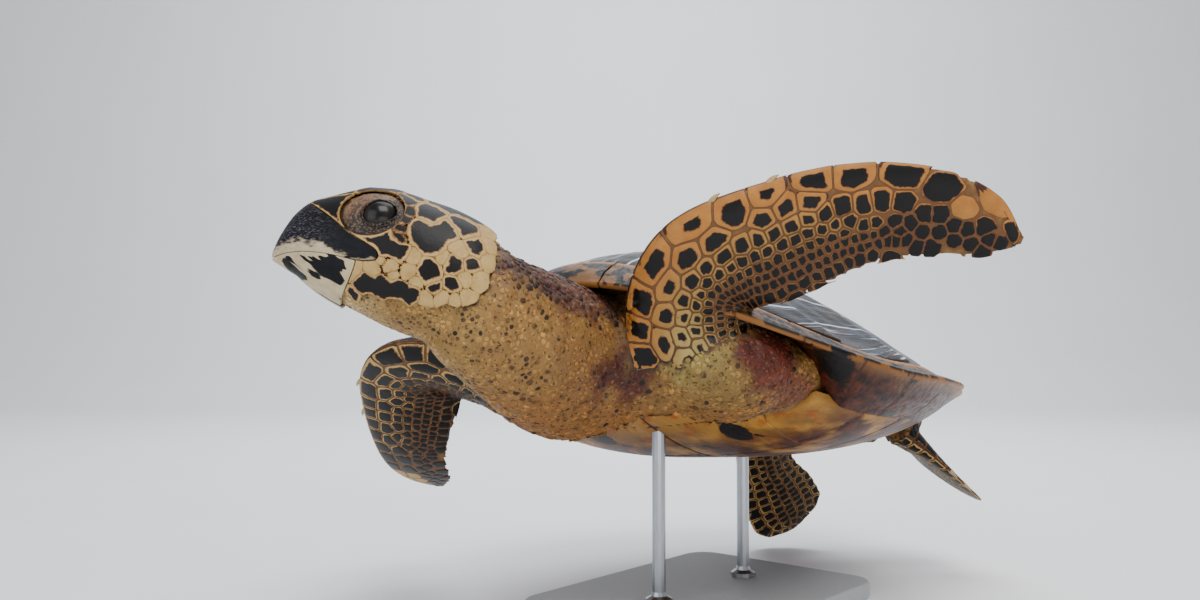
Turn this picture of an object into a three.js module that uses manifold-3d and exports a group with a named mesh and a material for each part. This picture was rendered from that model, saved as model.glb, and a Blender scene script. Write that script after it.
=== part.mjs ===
// Hawksbill sea turtle, a still life-size model held by a plain stand.
// Millimetres, +Z up, +X where the turtle heads, +Y its left. The origin is the
// middle of the underside of the stand's base.
import * as THREE from 'three';
import { mergeVertices } from 'three/addons/utils/BufferGeometryUtils.js';
import Module from 'manifold-3d';

const wasm = await Module();
wasm.setup();

// ---- driving dimensions -------------------------------------------------

const gap = 0.3;                    // clearance between touching pieces
const swimHeight = 226;             // centre of the shell above the floor
const pitch = 5;                    // degrees, nose up
const bank = 5.5;                   // degrees, left side up

const shell = {
  length: 650,
  halfWidth: 253,
  widest: 50,                       // x of the widest place
  height: 137,                      // dome above the margin
  depth: 70,                        // belly below the margin
  nuchalRise: 88,                   // the margin climbs towards the neck
  tailDrop: -5,
  rimLine: 0.86,                    // inner edge of the marginals, share of the outline
  bridgeLine: 0.83,
  plate: 7,                         // thickness of a scute
  lap: 4,                           // how far a scute's rear edge stands proud
  rimPlate: 14,                     // thickness of the marginals over the openings
  tooth: 15,                        // rear marginals' points
};

// x of the vertebral seams on the midline, and half widths there
const vertebralX = [292, 192, 84, -36, -150, -268];
const seamHalf = [58, 46, 42, 38, 34];
// lateral corners of the vertebrals, where the costal seams start
const cornerX = [262, 140, 26, -94, -206];
const cornerHalf = [62, 92, 90, 80, 60];
// where the costal seams reach the marginals
const rimX = [262, 138, 12, -122, -232];

// bodies of the limbs: u along the limb, half width to the leading edge,
// half width to the trailing edge, thickness
const foreShape = [
  [0.00, 50, 50, 60],
  [0.15, 56, 58, 54],
  [0.30, 56, 62, 44],
  [0.42, 50, 62, 32],
  [0.55, 49, 54, 23],
  [0.68, 46, 42, 17],
  [0.82, 41, 33, 12],
  [0.93, 29, 24, 8],
  [1.00, 3, 3, 3],
];
const hindShape = [
  [0.00, 34, 34, 46],
  [0.20, 35, 37, 34],
  [0.42, 38, 44, 20],
  [0.62, 46, 56, 13],
  [0.80, 48, 58, 10],
  [0.93, 36, 42, 7],
  [1.00, 5, 6, 3],
];

// each limb: root, the way it leaves the body, the way its leading edge faces,
// and the bends in degrees
const limbs = {
  flipper_front_left: {
    side: 1, shape: foreShape, length: 399, root: [232, 101, -8],
    aim: [0.58, 0.30, 0.76], lead: [0.67, -0.70, -0.24],
    elbow: 0.29, sweep: [81, 35], flap: [-6, -12], twist: 27,
    claws: [0.39, 0.50],
  },
  flipper_front_right: {
    side: -1, shape: foreShape, length: 380, root: [222, -117, -5],
    aim: [0.79, -0.50, 0.35], lead: [0.48, 0.86, 0.16],
    elbow: 0.33, sweep: [108, 11], flap: [-34, 28], twist: 24,
    claws: [0.43, 0.54],
  },
  flipper_rear_left: {
    side: 1, shape: hindShape, length: 160, root: [-190, 88, -26],
    aim: [-0.60, 0.42, -0.56], lead: [0.72, 0.66, -0.20],
    elbow: 0.35, sweep: [12, 8], flap: [-6, 10], twist: 4,
    claws: [0.52, 0.66],
  },
  flipper_rear_right: {
    side: -1, shape: hindShape, length: 172, root: [-192, -98, -26],
    aim: [-0.38, -0.12, -0.92], lead: [0.62, -0.74, -0.16],
    elbow: 0.35, sweep: [14, 8], flap: [4, 8], twist: -6,
    claws: [0.52, 0.66],
  },
};

// the head, behind the beak's tip: distance, top, bottom, half width, fullness
const headPlace = { tip: [563, -81, 92], axis: [127, -107, 11], roll: 0 };
const headShape = [
  [0, 4, -1, 3, 2.0],
  [4, 15, -3, 9, 2.0],
  [11, 28, -6, 15, 2.0],
  [20, 40, -10, 20, 2.1],
  [30, 48.5, -18, 25, 2.1],
  [44, 53.5, -27, 30, 2.2],
  [60, 59, -35, 35, 2.3],
  [76, 63, -42, 40, 2.4],
  [92, 63, -49, 44, 2.4],
  [108, 59.5, -54.5, 47.5, 2.3],
  [124, 55.5, -59, 49.5, 2.2],
  [140, 51.5, -63.5, 50, 2.2],
  [157, 45.5, -69, 48, 2.1],
  [174, 37, -74, 43, 2.0],
  [188, 22, -66, 32, 2.0],
];
const eye = { back: 84, out: 27, up: 34, radius: 16.5 };
// the beak in side view: distance behind the tip, height
const gape = [[-6, -1], [0, -0.5], [17, 4], [45, 2], [68, -3.5], [86, -1.5]];
const beakUpperTop = [[94, 8], [78, 13], [62, 20], [46, 31], [30, 42], [21, 49], [-6, 49]];
const beakLowerBack = [[70, -4], [66, -18], [58, -34], [57, -60], [-6, -60], [-6, -1]];

// the neck: centre, half width, half height
const neckShape = [
  [[454, 30, 62], 47, 52],
  [[428, 29, 47], 52, 58],
  [[398, 28, 36], 56, 64],
  [[364, 22, 27], 62, 70],
  [[326, 12, 19], 72, 73],
  [[284, 4, 12], 78, 72],
];

// swellings of the trunk between the two shells: centre, half sizes
const swellings = [
  [[258, 0, 14], [86, 112, 68]],
  [[214, 112, 8], [84, 78, 50]],
  [[206, -108, 8], [84, 66, 48]],
  [[-196, 84, -26], [60, 44, 28]],
  [[-196, -84, -26], [60, 44, 28]],
];

const tail = { root: [-262, 0, -34], tip: [-348, 0, -44], radius: 19 };

const stand = {
  base: [340, 250, 18],
  corner: 30,
  rod: 7,
  rodX: [-80, 80],
  centreX: 75,                      // of the base, from the shell's centre
  centreY: 0,
  post: 14,                         // collar round each rod's foot
};

// ---- colours ------------------------------------------------------------

const finish = (colour, roughness, metalness = 0) =>
  () => new THREE.MeshStandardMaterial({ color: colour, roughness, metalness });
const skinFinish = finish(0xb98d55, 0.6);
const scaledFinish = finish(0x6b5138, 0.55);
const carapaceFinish = finish(0x4a4c50, 0.35);
const rimFinish = finish(0xa8642c, 0.4);
const plastronFinish = finish(0xd9a95c, 0.45);
const beakFinish = finish(0x2a2a30, 0.35);
const eyeFinish = finish(0x0c0b0b, 0.08);
const clawFinish = finish(0x5b4630, 0.4);
const baseFinish = finish(0x3a3a3c, 0.5);
const rodFinish = finish(0xb8babd, 0.3, 1);

// ---- small tools --------------------------------------------------------

const vec = (p) => new THREE.Vector3(...p);
const mix = (a, b, t) => a + (b - a) * t;
const clamp = (x, low, high) => Math.min(high, Math.max(low, x));
const radians = THREE.MathUtils.degToRad;
const ease = (a, b, x) => THREE.MathUtils.smoothstep(x, a, b);

// smooth values between the rows of a table whose first column rises
function curve(rows, x) {
  const last = rows.length - 1;
  const step = (i) => rows[i + 1][0] - rows[i][0];
  const slope = (i, c) => (rows[i + 1][c] - rows[i][c]) / step(i);
  const tangent = (i, c) => {
    if (i === 0) return slope(0, c);
    if (i === last) return slope(last - 1, c);
    const [before, after] = [slope(i - 1, c), slope(i, c)];
    if (before * after <= 0) return 0;
    const w1 = 2 * step(i) + step(i - 1);
    const w2 = step(i) + 2 * step(i - 1);
    return (w1 + w2) / (w1 / before + w2 / after);
  };
  let i = 0;
  while (i < last - 1 && x > rows[i + 1][0]) i += 1;
  const h = step(i);
  const t = clamp((x - rows[i][0]) / h, 0, 1);
  const blend = (c) => (1 + 2 * t) * (1 - t) ** 2 * rows[i][c] + t * (1 - t) ** 2 * h * tangent(i, c)
    + t * t * (3 - 2 * t) * rows[i + 1][c] + t * t * (t - 1) * h * tangent(i + 1, c);
  return rows[i].slice(1).map((_, c) => blend(c + 1));
}

function meshOf(points, faces) {
  const geometry = new THREE.BufferGeometry();
  geometry.setAttribute('position', new THREE.Float32BufferAttribute(points.flatMap((p) => [p.x, p.y, p.z]), 3));
  geometry.setIndex(faces.flat());
  return facingOut(geometry);
}

function signedVolume(geometry) {
  const [a, b, c] = [0, 0, 0].map(() => new THREE.Vector3());
  const { position } = geometry.attributes;
  const index = geometry.index.array;
  let sum = 0;
  for (let i = 0; i < index.length; i += 3) {
    a.fromBufferAttribute(position, index[i]);
    b.fromBufferAttribute(position, index[i + 1]);
    c.fromBufferAttribute(position, index[i + 2]);
    sum += a.dot(b.cross(c)) / 6;
  }
  return sum;
}

function facingOut(geometry) {
  if (signedVolume(geometry) < 0) geometry.index.array.reverse();
  return geometry;
}

// a closed skin over rings of equal count, each end closed by a fan
function loft(rings) {
  const count = rings[0].length;
  const points = rings.flat();
  const faces = [];
  for (let r = 0; r + 1 < rings.length; r += 1) {
    for (let k = 0; k < count; k += 1) {
      const a = r * count + k;
      const b = r * count + (k + 1) % count;
      faces.push([a, b, a + count], [b, b + count, a + count]);
    }
  }
  const middle = (ring) => ring.reduce((sum, p) => sum.add(p), new THREE.Vector3()).divideScalar(count);
  const end = (rings.length - 1) * count;
  points.push(middle(rings[0]), middle(rings[rings.length - 1]));
  for (let k = 0; k < count; k += 1) {
    const next = (k + 1) % count;
    faces.push([next, k, points.length - 2], [end + k, end + next, points.length - 1]);
  }
  return meshOf(points, faces);
}

function ellipsoid([x, y, z], [a, b, c], around = 12, along = 8) {
  const geometry = new THREE.SphereGeometry(1, around, along);
  geometry.scale(a, b, c);
  geometry.translate(x, y, z);
  return geometry;
}

function solid(geometry) {
  const bare = geometry.clone();
  bare.deleteAttribute('normal');
  bare.deleteAttribute('uv');
  const merged = mergeVertices(bare, 1e-4);
  return new wasm.Manifold(new wasm.Mesh({
    numProp: 3,
    vertProperties: new Float32Array(merged.attributes.position.array),
    triVerts: new Uint32Array(merged.index.array),
  }));
}

function geometryOf(manifold) {
  const largest = manifold.decompose().reduce((a, b) => (b.volume() > a.volume() ? b : a));
  const mesh = largest.getMesh();
  const geometry = new THREE.BufferGeometry();
  geometry.setAttribute('position', new THREE.BufferAttribute(mesh.vertProperties, 3));
  geometry.setIndex(new THREE.BufferAttribute(mesh.triVerts, 1));
  return geometry;
}

const cut = (body, cutters) => cutters.reduce((left, cutter) => left.subtract(cutter), body);
const join = (bodies) => bodies.reduce((sum, body) => sum.add(body));

// ---- the shell's surfaces -----------------------------------------------

const frontReach = shell.length / 2 - shell.widest;
const rearReach = shell.length / 2 + shell.widest;

// inside is below 1: the front is a blunt oval, the rear draws to a point
function outlineShare(x, y, scale) {
  const along = Math.abs(x - shell.widest) / scale;
  const across = Math.abs(y) / scale / shell.halfWidth;
  return x > shell.widest
    ? (along / frontReach) ** 2.2 + across ** 2
    : (along / rearReach) ** 1.9 + across ** 1.25;
}

// share of the way from the widest place's centre out to the margin
function shareAt(x, y) {
  let [low, high] = [1e-4, 3];
  for (let i = 0; i < 34; i += 1) {
    const middle = (low + high) / 2;
    if (outlineShare(x, y, middle) > 1) low = middle;
    else high = middle;
  }
  return high;
}

// a point of the margin, t from 0 at the neck to PI at the tail, side 1 is left
function margin(t, share = 1, side = 1) {
  const c = Math.abs(Math.cos(t));
  const front = t < Math.PI / 2;
  const x = front ? frontReach * c ** (2 / 2.2) : -rearReach * c ** (2 / 1.9);
  const y = front ? Math.sin(t) : Math.sin(t) ** (2 / 1.25);
  return [shell.widest + x * share, side * shell.halfWidth * y * share];
}

// t of the margin's point above x, on the line at this share
function marginAngle(x, share) {
  const along = (x - shell.widest) / share;
  return along > 0
    ? Math.acos(clamp(along / frontReach, 0, 1) ** 1.1)
    : Math.PI - Math.acos(clamp(-along / rearReach, 0, 1) ** 0.95);
}

function marginHeight(x) {
  const front = clamp((x - shell.widest) / frontReach, 0, 1);
  const rear = clamp((shell.widest - x) / rearReach, 0, 1);
  return shell.nuchalRise * front ** 2.2 + shell.tailDrop * rear ** 2;
}

function domeHeight(x, y) {
  const share = shareAt(x, y);
  const edge = shell.widest + (x - shell.widest) / share;
  const angle = Math.atan2(y, x - shell.widest);
  const steep = mix(0.74, 1.3, Math.sin(angle) ** 2);
  const rise = Math.max(0, Math.cos(Math.PI / 2 * Math.min(share, 1))) ** steep;
  return shell.height * rise + marginHeight(edge) * share ** 1.5;
}

function bellyHeight(x, y) {
  const share = Math.min(shareAt(x, y), 1);
  const edge = shell.widest + (x - shell.widest) / Math.max(share, 1e-3);
  return -shell.depth * (1 - share ** 2.6) ** 0.7 + marginHeight(edge) * share ** 1.5;
}

// ---- scutes -------------------------------------------------------------

// a plate with upright sides over a plan outline, between two height functions
function plate(outline, top, bottom, rings, bottomRings, inset) {
  const centre = outline.reduce(([a, b], [x, y]) => [a + x / outline.length, b + y / outline.length], [0, 0]);
  const shrink = ([x, y], share) => {
    const reach = Math.hypot(x - centre[0], y - centre[1]);
    const keep = share * (1 - inset / reach);
    return [mix(centre[0], x, keep), mix(centre[1], y, keep)];
  };
  const ringAt = (share, height) => outline.map((p) => {
    const [x, y] = shrink(p, share);
    return new THREE.Vector3(x, y, height(x, y));
  });
  const layers = [];
  for (let r = 1; r <= bottomRings; r += 1) layers.push(ringAt(r / bottomRings, bottom));
  for (let r = rings; r >= 1; r -= 1) layers.push(ringAt(r / rings, top));
  const geometry = loft(layers);
  const { position } = geometry.attributes;
  position.setXYZ(position.count - 2, ...centre, bottom(...centre));
  position.setXYZ(position.count - 1, ...centre, top(...centre));
  return geometry;
}

// the same outline with points added so that no step is longer than this
function subdivide(outline, step) {
  return outline.flatMap((p, i) => {
    const q = outline[(i + 1) % outline.length];
    const parts = Math.max(1, Math.round(Math.hypot(q[0] - p[0], q[1] - p[1]) / step));
    return Array.from({ length: parts }, (_, k) => [mix(p[0], q[0], k / parts), mix(p[1], q[1], k / parts)]);
  });
}

// points along the marginals' inner line between two angles
function rimLine(from, to, side, parts) {
  return Array.from({ length: parts + 1 }, (_, k) => margin(mix(from, to, k / parts), shell.rimLine, side));
}

const rimAngle = rimX.map((x) => marginAngle(x, shell.rimLine));
const flip = (outline) => outline.map(([x, y]) => [x, -y]).reverse();

function vertebralOutline(k) {
  const halves = [];
  if (k === 0) halves.push(...rimLine(0, rimAngle[0], 1, 2));
  else halves.push([vertebralX[k], seamHalf[k]], [cornerX[k], cornerHalf[k]]);
  if (k < 4) halves.push([vertebralX[k + 1], seamHalf[k + 1]]);
  else halves.push(...rimLine(rimAngle[4], Math.PI, 1, 2));
  const right = flip(halves);
  return subdivide([...halves, ...right.filter(([, y]) => Math.abs(y) > 0.01)], 46);
}

function costalOutline(k, side) {
  const inner = [[vertebralX[k + 1], seamHalf[k + 1]], [cornerX[k + 1], cornerHalf[k + 1]]];
  const start = k === 0 ? [] : [[cornerX[k], cornerHalf[k]]];
  const outline = [...start, ...inner, ...rimLine(rimAngle[k + 1], rimAngle[k], 1, 3)];
  const sided = side > 0 ? outline : outline.map(([x, y]) => [x, -y]);
  return subdivide(sided, 62);
}

// a scute of the dome: its rear edge laps over the next one
function scute(outline, grow = 0) {
  const xs = outline.map(([x]) => x);
  const [rear, front] = [Math.min(...xs), Math.max(...xs)];
  const lift = (x) => shell.lap * clamp((front - x) / (front - rear), 0, 1) ** 1.5;
  const top = (x, y) => domeHeight(x, y) + lift(x) + grow;
  const bottom = (x, y) => domeHeight(x, y) - shell.plate - grow;
  return plate(outline, top, bottom, 3, 2, grow ? 0 : gap);
}

// how open the shell's side is: 0 along the bridge, 1 over neck and tail
const openness = (x) => 1 - ease(-235, -180, x) * (1 - ease(150, 215, x));

// the marginals of one side, joined: a wedge that runs round the outline
const marginals = { count: 12, start: 0.235, perScute: 3, lip: 3 };

function rimProfile(t, side, grow) {
  const at = (share) => margin(t, share, side);
  const height = (share, surface) => surface(...at(share));
  const point = (share, z) => new THREE.Vector3(...at(share), z);
  const [edgeX] = at(1);
  const edgeZ = marginHeight(edgeX);
  const open = openness(edgeX);
  const along = (t - marginals.start) / (Math.PI - marginals.start) * marginals.count;
  const tooth = ease(0, 0.9, along % 1) * (1 - ease(-230, 60, edgeX)) * shell.tooth / 300;
  const edge = 1 + tooth + grow / 250;
  const inward = grow ? -grow / 200 : gap / 250;
  const thin = (share) => height(share, domeHeight) - shell.rimPlate * (1 - share) / (1 - shell.bridgeLine);
  const under = (share) => mix(height(share, bellyHeight), thin(share) - marginals.lip, open);
  const over = (share) => height(share, domeHeight) + shell.lap / 2;
  const seat = Math.min(height(shell.rimLine, domeHeight) - shell.plate - 2, under(shell.rimLine));
  return [
    point(shell.rimLine + inward, over(shell.rimLine) + grow),
    point(0.94, over(0.94) + grow),
    point(edge, edgeZ + marginals.lip + grow),
    point(edge, edgeZ - marginals.lip - grow),
    point(0.93, under(0.93) - grow),
    point(shell.bridgeLine + inward, under(shell.bridgeLine) - grow),
    point(shell.rimLine + inward, seat - grow),
  ];
}

function rim(side, grow = 0) {
  const steps = marginals.count * marginals.perScute;
  const angles = Array.from({ length: steps + 1 }, (_, i) => mix(marginals.start, Math.PI, i / steps));
  angles[0] += grow ? -0.001 : 0.002;
  angles[steps] -= grow ? 0.001 : 0.004;
  return loft(angles.map((t) => rimProfile(t, side, grow)));
}

function nuchal(grow = 0) {
  const angles = [-1, -0.6, -0.2, 0.2, 0.6, 1].map((share) => share * marginals.start);
  angles[0] -= grow ? 0.001 : -0.002;
  angles[5] += grow ? 0.001 : -0.002;
  return loft(angles.map((t) => rimProfile(Math.abs(t), Math.sign(t), grow)));
}

// ---- underside ----------------------------------------------------------

// half width of the central plastron: a broad front lobe, a narrower rear one
const plastronHalf = [
  [-262, 6], [-250, 40], [-220, 70], [-178, 96], [-110, 108], [0, 118], [110, 128],
  [165, 130], [220, 112], [262, 78], [284, 40], [292, 5],
];
const plastronThick = 9;

function plastronOutline() {
  const left = plastronHalf.map(([x, y]) => [x, y]);
  return subdivide([...left, ...flip(left)], 42);
}

function plastron(grow = 0) {
  const bottom = (x, y) => bellyHeight(x, y) - grow;
  const top = (x, y) => bellyHeight(x, y) + plastronThick + grow;
  return plate(plastronOutline(), top, bottom, 2, 3, grow ? 0 : gap);
}

const bridgeEnds = [-178, 162];

function bridge(side, grow = 0) {
  const inner = [];
  const outer = [];
  const steps = 7;
  for (let i = 0; i <= steps; i += 1) {
    const x = mix(...bridgeEnds, i / steps);
    inner.push([x, side * (curve(plastronHalf, x)[0] + gap)]);
    outer.push(margin(marginAngle(x, shell.bridgeLine), shell.bridgeLine, side));
  }
  const bottom = (x, y) => bellyHeight(x, y) - grow;
  const top = (x, y) => bellyHeight(x, y) + plastronThick + grow;
  return plate([...inner, ...outer.reverse()], top, bottom, 2, 3, grow ? 0 : gap);
}

// ---- limbs --------------------------------------------------------------

// frames along a limb: T runs to the tip, L to the leading edge, N to the back
function limbFrames(limb, count) {
  const T = vec(limb.aim).normalize();
  const L = vec(limb.lead).addScaledVector(T, -vec(limb.lead).dot(T)).normalize();
  const N = new THREE.Vector3().crossVectors(L, T).multiplyScalar(limb.side);
  const place = vec(limb.root);
  const bends = [
    [N, -limb.side * -1, [[limb.elbow, 0.16, limb.sweep[0]], [0.75, 0.25, limb.sweep[1]]]],
    [L, limb.side, [[limb.elbow, 0.20, limb.flap[0]], [0.75, 0.25, limb.flap[1]]]],
    [T, -limb.side, [[0.4, 0.3, limb.twist]]],
  ];
  const turned = (items, a, b) => items.reduce(
    (sum, [centre, half, degrees]) => sum
      + radians(degrees) * (ease(centre - half, centre + half, b) - ease(centre - half, centre + half, a)), 0);
  const frames = [];
  for (let i = 0; i <= count; i += 1) {
    const u = i / count;
    const sweepRate = turned(bends[0][2], Math.max(0, u - 0.02), Math.min(1, u + 0.02)) / 0.04;
    frames.push({ u, P: place.clone(), T: T.clone(), L: L.clone(), N: N.clone(), radius: limb.length / Math.abs(sweepRate || 1e-6) });
    if (i === count) break;
    place.addScaledVector(T, limb.length / count);
    for (const [axis, sign, items] of bends) {
      const turn = new THREE.Quaternion().setFromAxisAngle(axis.clone(), sign * turned(items, u, (i + 1) / count));
      for (const v of [T, L, N]) v.applyQuaternion(turn);
    }
  }
  return frames;
}

const limbSteps = 60;

// one section of a limb: a thin oval whose trailing side is drawn out
function limbSection(limb, frame, around, grow) {
  const [lead, trail, thick] = curve(limb.shape, frame.u);
  const inside = Math.min(trail, frame.radius * 0.9);
  return Array.from({ length: around }, (_, k) => {
    const angle = 2 * Math.PI * k / around;
    const across = Math.cos(angle) * (Math.cos(angle) > 0 ? lead : inside) + grow * Math.cos(angle);
    const fine = 1 - 0.4 * Math.max(0, -Math.cos(angle)) ** 2;
    const out = Math.sin(angle) * (thick / 2 * fine + grow);
    return frame.P.clone().addScaledVector(frame.L, across).addScaledVector(frame.N, out);
  });
}

function limbSolid(limb, stations, around, grow = 0) {
  const frames = limbFrames(limb, limbSteps);
  return loft(stations.map((u) => limbSection(limb, frames[Math.round(u * limbSteps)], around, grow)));
}

const foreStations = [0, 0.117, 0.2, 0.25, 0.3, 0.35, 0.4, 0.467, 0.567, 0.683, 0.8, 0.9, 0.967, 1];
const hindStations = [0, 0.2, 0.4, 0.55, 0.7, 0.817, 0.917, 0.967, 1];

const clawShape = { length: 15, radius: 4, hook: 28 };

function claw(limb, u, grow = 0) {
  const frame = limbFrames(limb, limbSteps)[Math.round(u * limbSteps)];
  const [lead] = curve(limb.shape, u);
  const root = frame.P.clone().addScaledVector(frame.L, lead - 5);
  const rings = [0, 0.5, 1].map((s) => {
    const turn = radians(clawShape.hook) * s + 0.5;
    const centre = root.clone()
      .addScaledVector(frame.L, clawShape.length * s * Math.cos(turn * 0.6))
      .addScaledVector(frame.T, clawShape.length * s * Math.sin(turn * 0.6));
    const radius = clawShape.radius * (1 - 0.82 * s ** 1.3) + grow;
    return Array.from({ length: 5 }, (_, k) => {
      const angle = 2 * Math.PI * k / 5;
      return centre.clone()
        .addScaledVector(frame.T, radius * Math.cos(angle))
        .addScaledVector(frame.N, radius * 0.8 * Math.sin(angle));
    });
  });
  return loft(rings);
}

// ---- head and neck ------------------------------------------------------

// the head's own directions: forward along its axis, up, and out to the left
function headDirections() {
  const forward = vec(headPlace.axis).normalize();
  const left = new THREE.Vector3(0, 0, 1).cross(forward).normalize();
  const up = forward.clone().cross(left);
  left.applyAxisAngle(forward, radians(headPlace.roll));
  up.applyAxisAngle(forward, radians(headPlace.roll));
  return { forward, left, up };
}
const headDir = headDirections();

// a point of the head from its distance behind the beak's tip, left and up
const inHead = (back, left, up) => vec(headPlace.tip)
  .addScaledVector(headDir.forward, -back)
  .addScaledVector(headDir.left, left)
  .addScaledVector(headDir.up, up);

function headSection(back, around, grow) {
  const [top, bottom, half, full] = curve(headShape, back);
  const level = mix(bottom, top, 0.45);
  return Array.from({ length: around }, (_, k) => {
    const angle = 2 * Math.PI * (k + 0.5) / around;
    const [c, s] = [Math.cos(angle), Math.sin(angle)];
    const x = Math.sign(c) * Math.abs(c) ** (2 / full) * (half + grow);
    const z = Math.sign(s) * Math.abs(s) ** (2 / full) * ((s > 0 ? top - level : level - bottom) + grow);
    return inHead(back, x, level + z);
  });
}

function headSolid(grow = 0) {
  const stations = headShape.map(([back]) => back);
  return loft(stations.map((back) => headSection(back, 18, grow)));
}

// a block across the head with this side view, to cut the beak from the head
function acrossHead(outline) {
  const half = 80;
  const side = new THREE.Shape(outline.map(([back, up]) => new THREE.Vector2(-back, up)));
  const geometry = new THREE.ExtrudeGeometry(side, { depth: 2 * half, bevelEnabled: false });
  const place = new THREE.Matrix4().makeBasis(headDir.forward, headDir.up, headDir.left.clone().negate());
  geometry.applyMatrix4(place.setPosition(inHead(0, half, 0)));
  return geometry;
}

const raise = (outline, up, back) => outline.map(([s, z]) => [s + back, z + up]);

function neckSolid(grow = 0) {
  const centres = neckShape.map(([p]) => vec(p));
  return loft(neckShape.map(([, half, tall], i) => {
    const before = centres[Math.max(0, i - 1)];
    const after = centres[Math.min(centres.length - 1, i + 1)];
    const along = after.clone().sub(before).normalize();
    const left = new THREE.Vector3(0, 0, 1).cross(along).normalize();
    const up = along.clone().cross(left);
    return Array.from({ length: 18 }, (_, k) => {
      const angle = 2 * Math.PI * k / 18;
      return centres[i].clone()
        .addScaledVector(left, (half + grow) * Math.cos(angle))
        .addScaledVector(up, (tall + grow) * Math.sin(angle));
    });
  }));
}

function tailSolid(grow = 0) {
  const [root, tip] = [vec(tail.root), vec(tail.tip)];
  return loft([0, 0.3, 0.6, 0.85, 0.96, 1].map((s) => {
    const centre = root.clone().lerp(tip, s);
    const radius = tail.radius * Math.sqrt(1 - s ** 1.6 * 0.985) + grow;
    return Array.from({ length: 12 }, (_, k) => {
      const angle = 2 * Math.PI * k / 12;
      return centre.clone().add(new THREE.Vector3(0, radius * Math.cos(angle), radius * 0.8 * Math.sin(angle)));
    });
  }));
}

// ---- trunk --------------------------------------------------------------

// room left under the plates for their facets: at the middle, and added at the rim
const underPlates = [5, 13];

const lensShare = 0.82;

// the flesh between the shells, as a lens, before anything is cut from it
function lens(grow = 0) {
  const [rings, around] = [4, 26];
  const outline = Array.from({ length: around }, (_, k) => {
    const t = Math.PI * 2 * k / around;
    return t <= Math.PI ? margin(t, lensShare) : margin(2 * Math.PI - t, lensShare, -1);
  });
  const slack = (x, y) => underPlates[0] + underPlates[1] * shareAt(x, y) ** 3;
  const top = (x, y) => domeHeight(x, y) - shell.plate - slack(x, y) + grow;
  const bottom = (x, y) => bellyHeight(x, y) + plastronThick + slack(x, y) - grow;
  return plate(outline, top, bottom, rings, rings, 0);
}

// ---- stand --------------------------------------------------------------

function standBase() {
  const [length, width, height] = stand.base;
  const bevel = 2;
  const [x, y] = [length / 2 - bevel, width / 2 - bevel];
  const r = stand.corner - bevel;
  const outline = new THREE.Shape();
  outline.moveTo(x - r, -y);
  for (const [cx, cy, start] of [[x - r, r - y, -90], [x - r, y - r, 0], [r - x, y - r, 90], [r - x, r - y, 180]]) {
    outline.absarc(cx, cy, r, radians(start), radians(start + 90));
  }
  const geometry = new THREE.ExtrudeGeometry(outline, {
    depth: height - 2 * bevel, bevelThickness: bevel, bevelSize: bevel, bevelSegments: 1, curveSegments: 3,
  });
  geometry.translate(0, 0, bevel);
  return geometry;
}

// a rod with a small collar at its foot, from the base up into the belly
function standRod(x) {
  const foot = stand.base[2] + gap;
  const profile = [
    [0, foot], [stand.post, foot], [stand.post, foot + 5], [stand.rod + 1.5, foot + 8],
    [stand.rod, foot + 12], [stand.rod, swimHeight], [0, swimHeight],
  ];
  const geometry = new THREE.LatheGeometry(profile.map((p) => new THREE.Vector2(...p)), 12);
  geometry.rotateX(Math.PI / 2);
  geometry.translate(x, 0, 0);
  return geometry;
}

// ---- the model ----------------------------------------------------------

const root = new THREE.Group();
const turtle = new THREE.Group();
turtle.rotation.set(radians(bank), radians(-pitch), 0, 'YXZ');
turtle.position.set(-stand.centreX, -stand.centreY, swimHeight);
turtle.updateMatrixWorld(true);
root.add(turtle);

function add(group, name, geometry, material) {
  const mesh = new THREE.Mesh(geometry, material());
  mesh.name = name;
  group.add(mesh);
  return mesh;
}

const sides = [['left', 1], ['right', -1]];

// shell plates; what bounds the flesh has a larger copy to cut it with
const plateCutters = [];
function addPlate(name, make, material, bounds = true) {
  add(turtle, name, make(0), material);
  if (bounds) plateCutters.push(solid(make(gap)));
}
for (let k = 0; k < 5; k += 1) {
  addPlate(`vertebral_${k + 1}`, (grow) => scute(vertebralOutline(k), grow), carapaceFinish, false);
}
for (const [name, side] of sides) {
  for (let k = 0; k < 4; k += 1) {
    addPlate(`costal_${name}_${k + 1}`, (grow) => scute(costalOutline(k, side), grow), carapaceFinish, false);
  }
  addPlate(`marginals_${name}`, (grow) => rim(side, grow), rimFinish);
  addPlate(`bridge_${name}`, (grow) => bridge(side, grow), rimFinish);
}
addPlate('nuchal', nuchal, carapaceFinish);
addPlate('plastron', plastron, plastronFinish);

// the trunk's flesh fills the shell and swells out of its openings
const flesh = (grow) => join([solid(lens(grow)), ...swellings.map(
  ([centre, half]) => solid(ellipsoid(centre, half.map((h) => h + grow))),
)]);
add(turtle, 'trunk', geometryOf(cut(flesh(0), plateCutters)), skinFinish);
const trunkCutters = [flesh(gap), ...plateCutters];

// limbs, with their claws let into the leading edge
const limbCutters = [];
for (const [name, limb] of Object.entries(limbs)) {
  const stations = limb.shape === foreShape ? foreStations : hindStations;
  const around = limb.shape === foreShape ? 12 : 10;
  const claws = limb.claws.map((u) => [claw(limb, u), solid(claw(limb, u, gap))]);
  const body = cut(solid(limbSolid(limb, stations, around)), [...trunkCutters, ...claws.map(([, c]) => c)]);
  add(turtle, name, geometryOf(body), scaledFinish);
  claws.forEach(([geometry], i) => add(turtle, `${name.replace('flipper', 'claw')}_${i + 1}`, geometry, clawFinish));
  limbCutters.push(solid(limbSolid(limb, stations, around, gap)));
}

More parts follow.
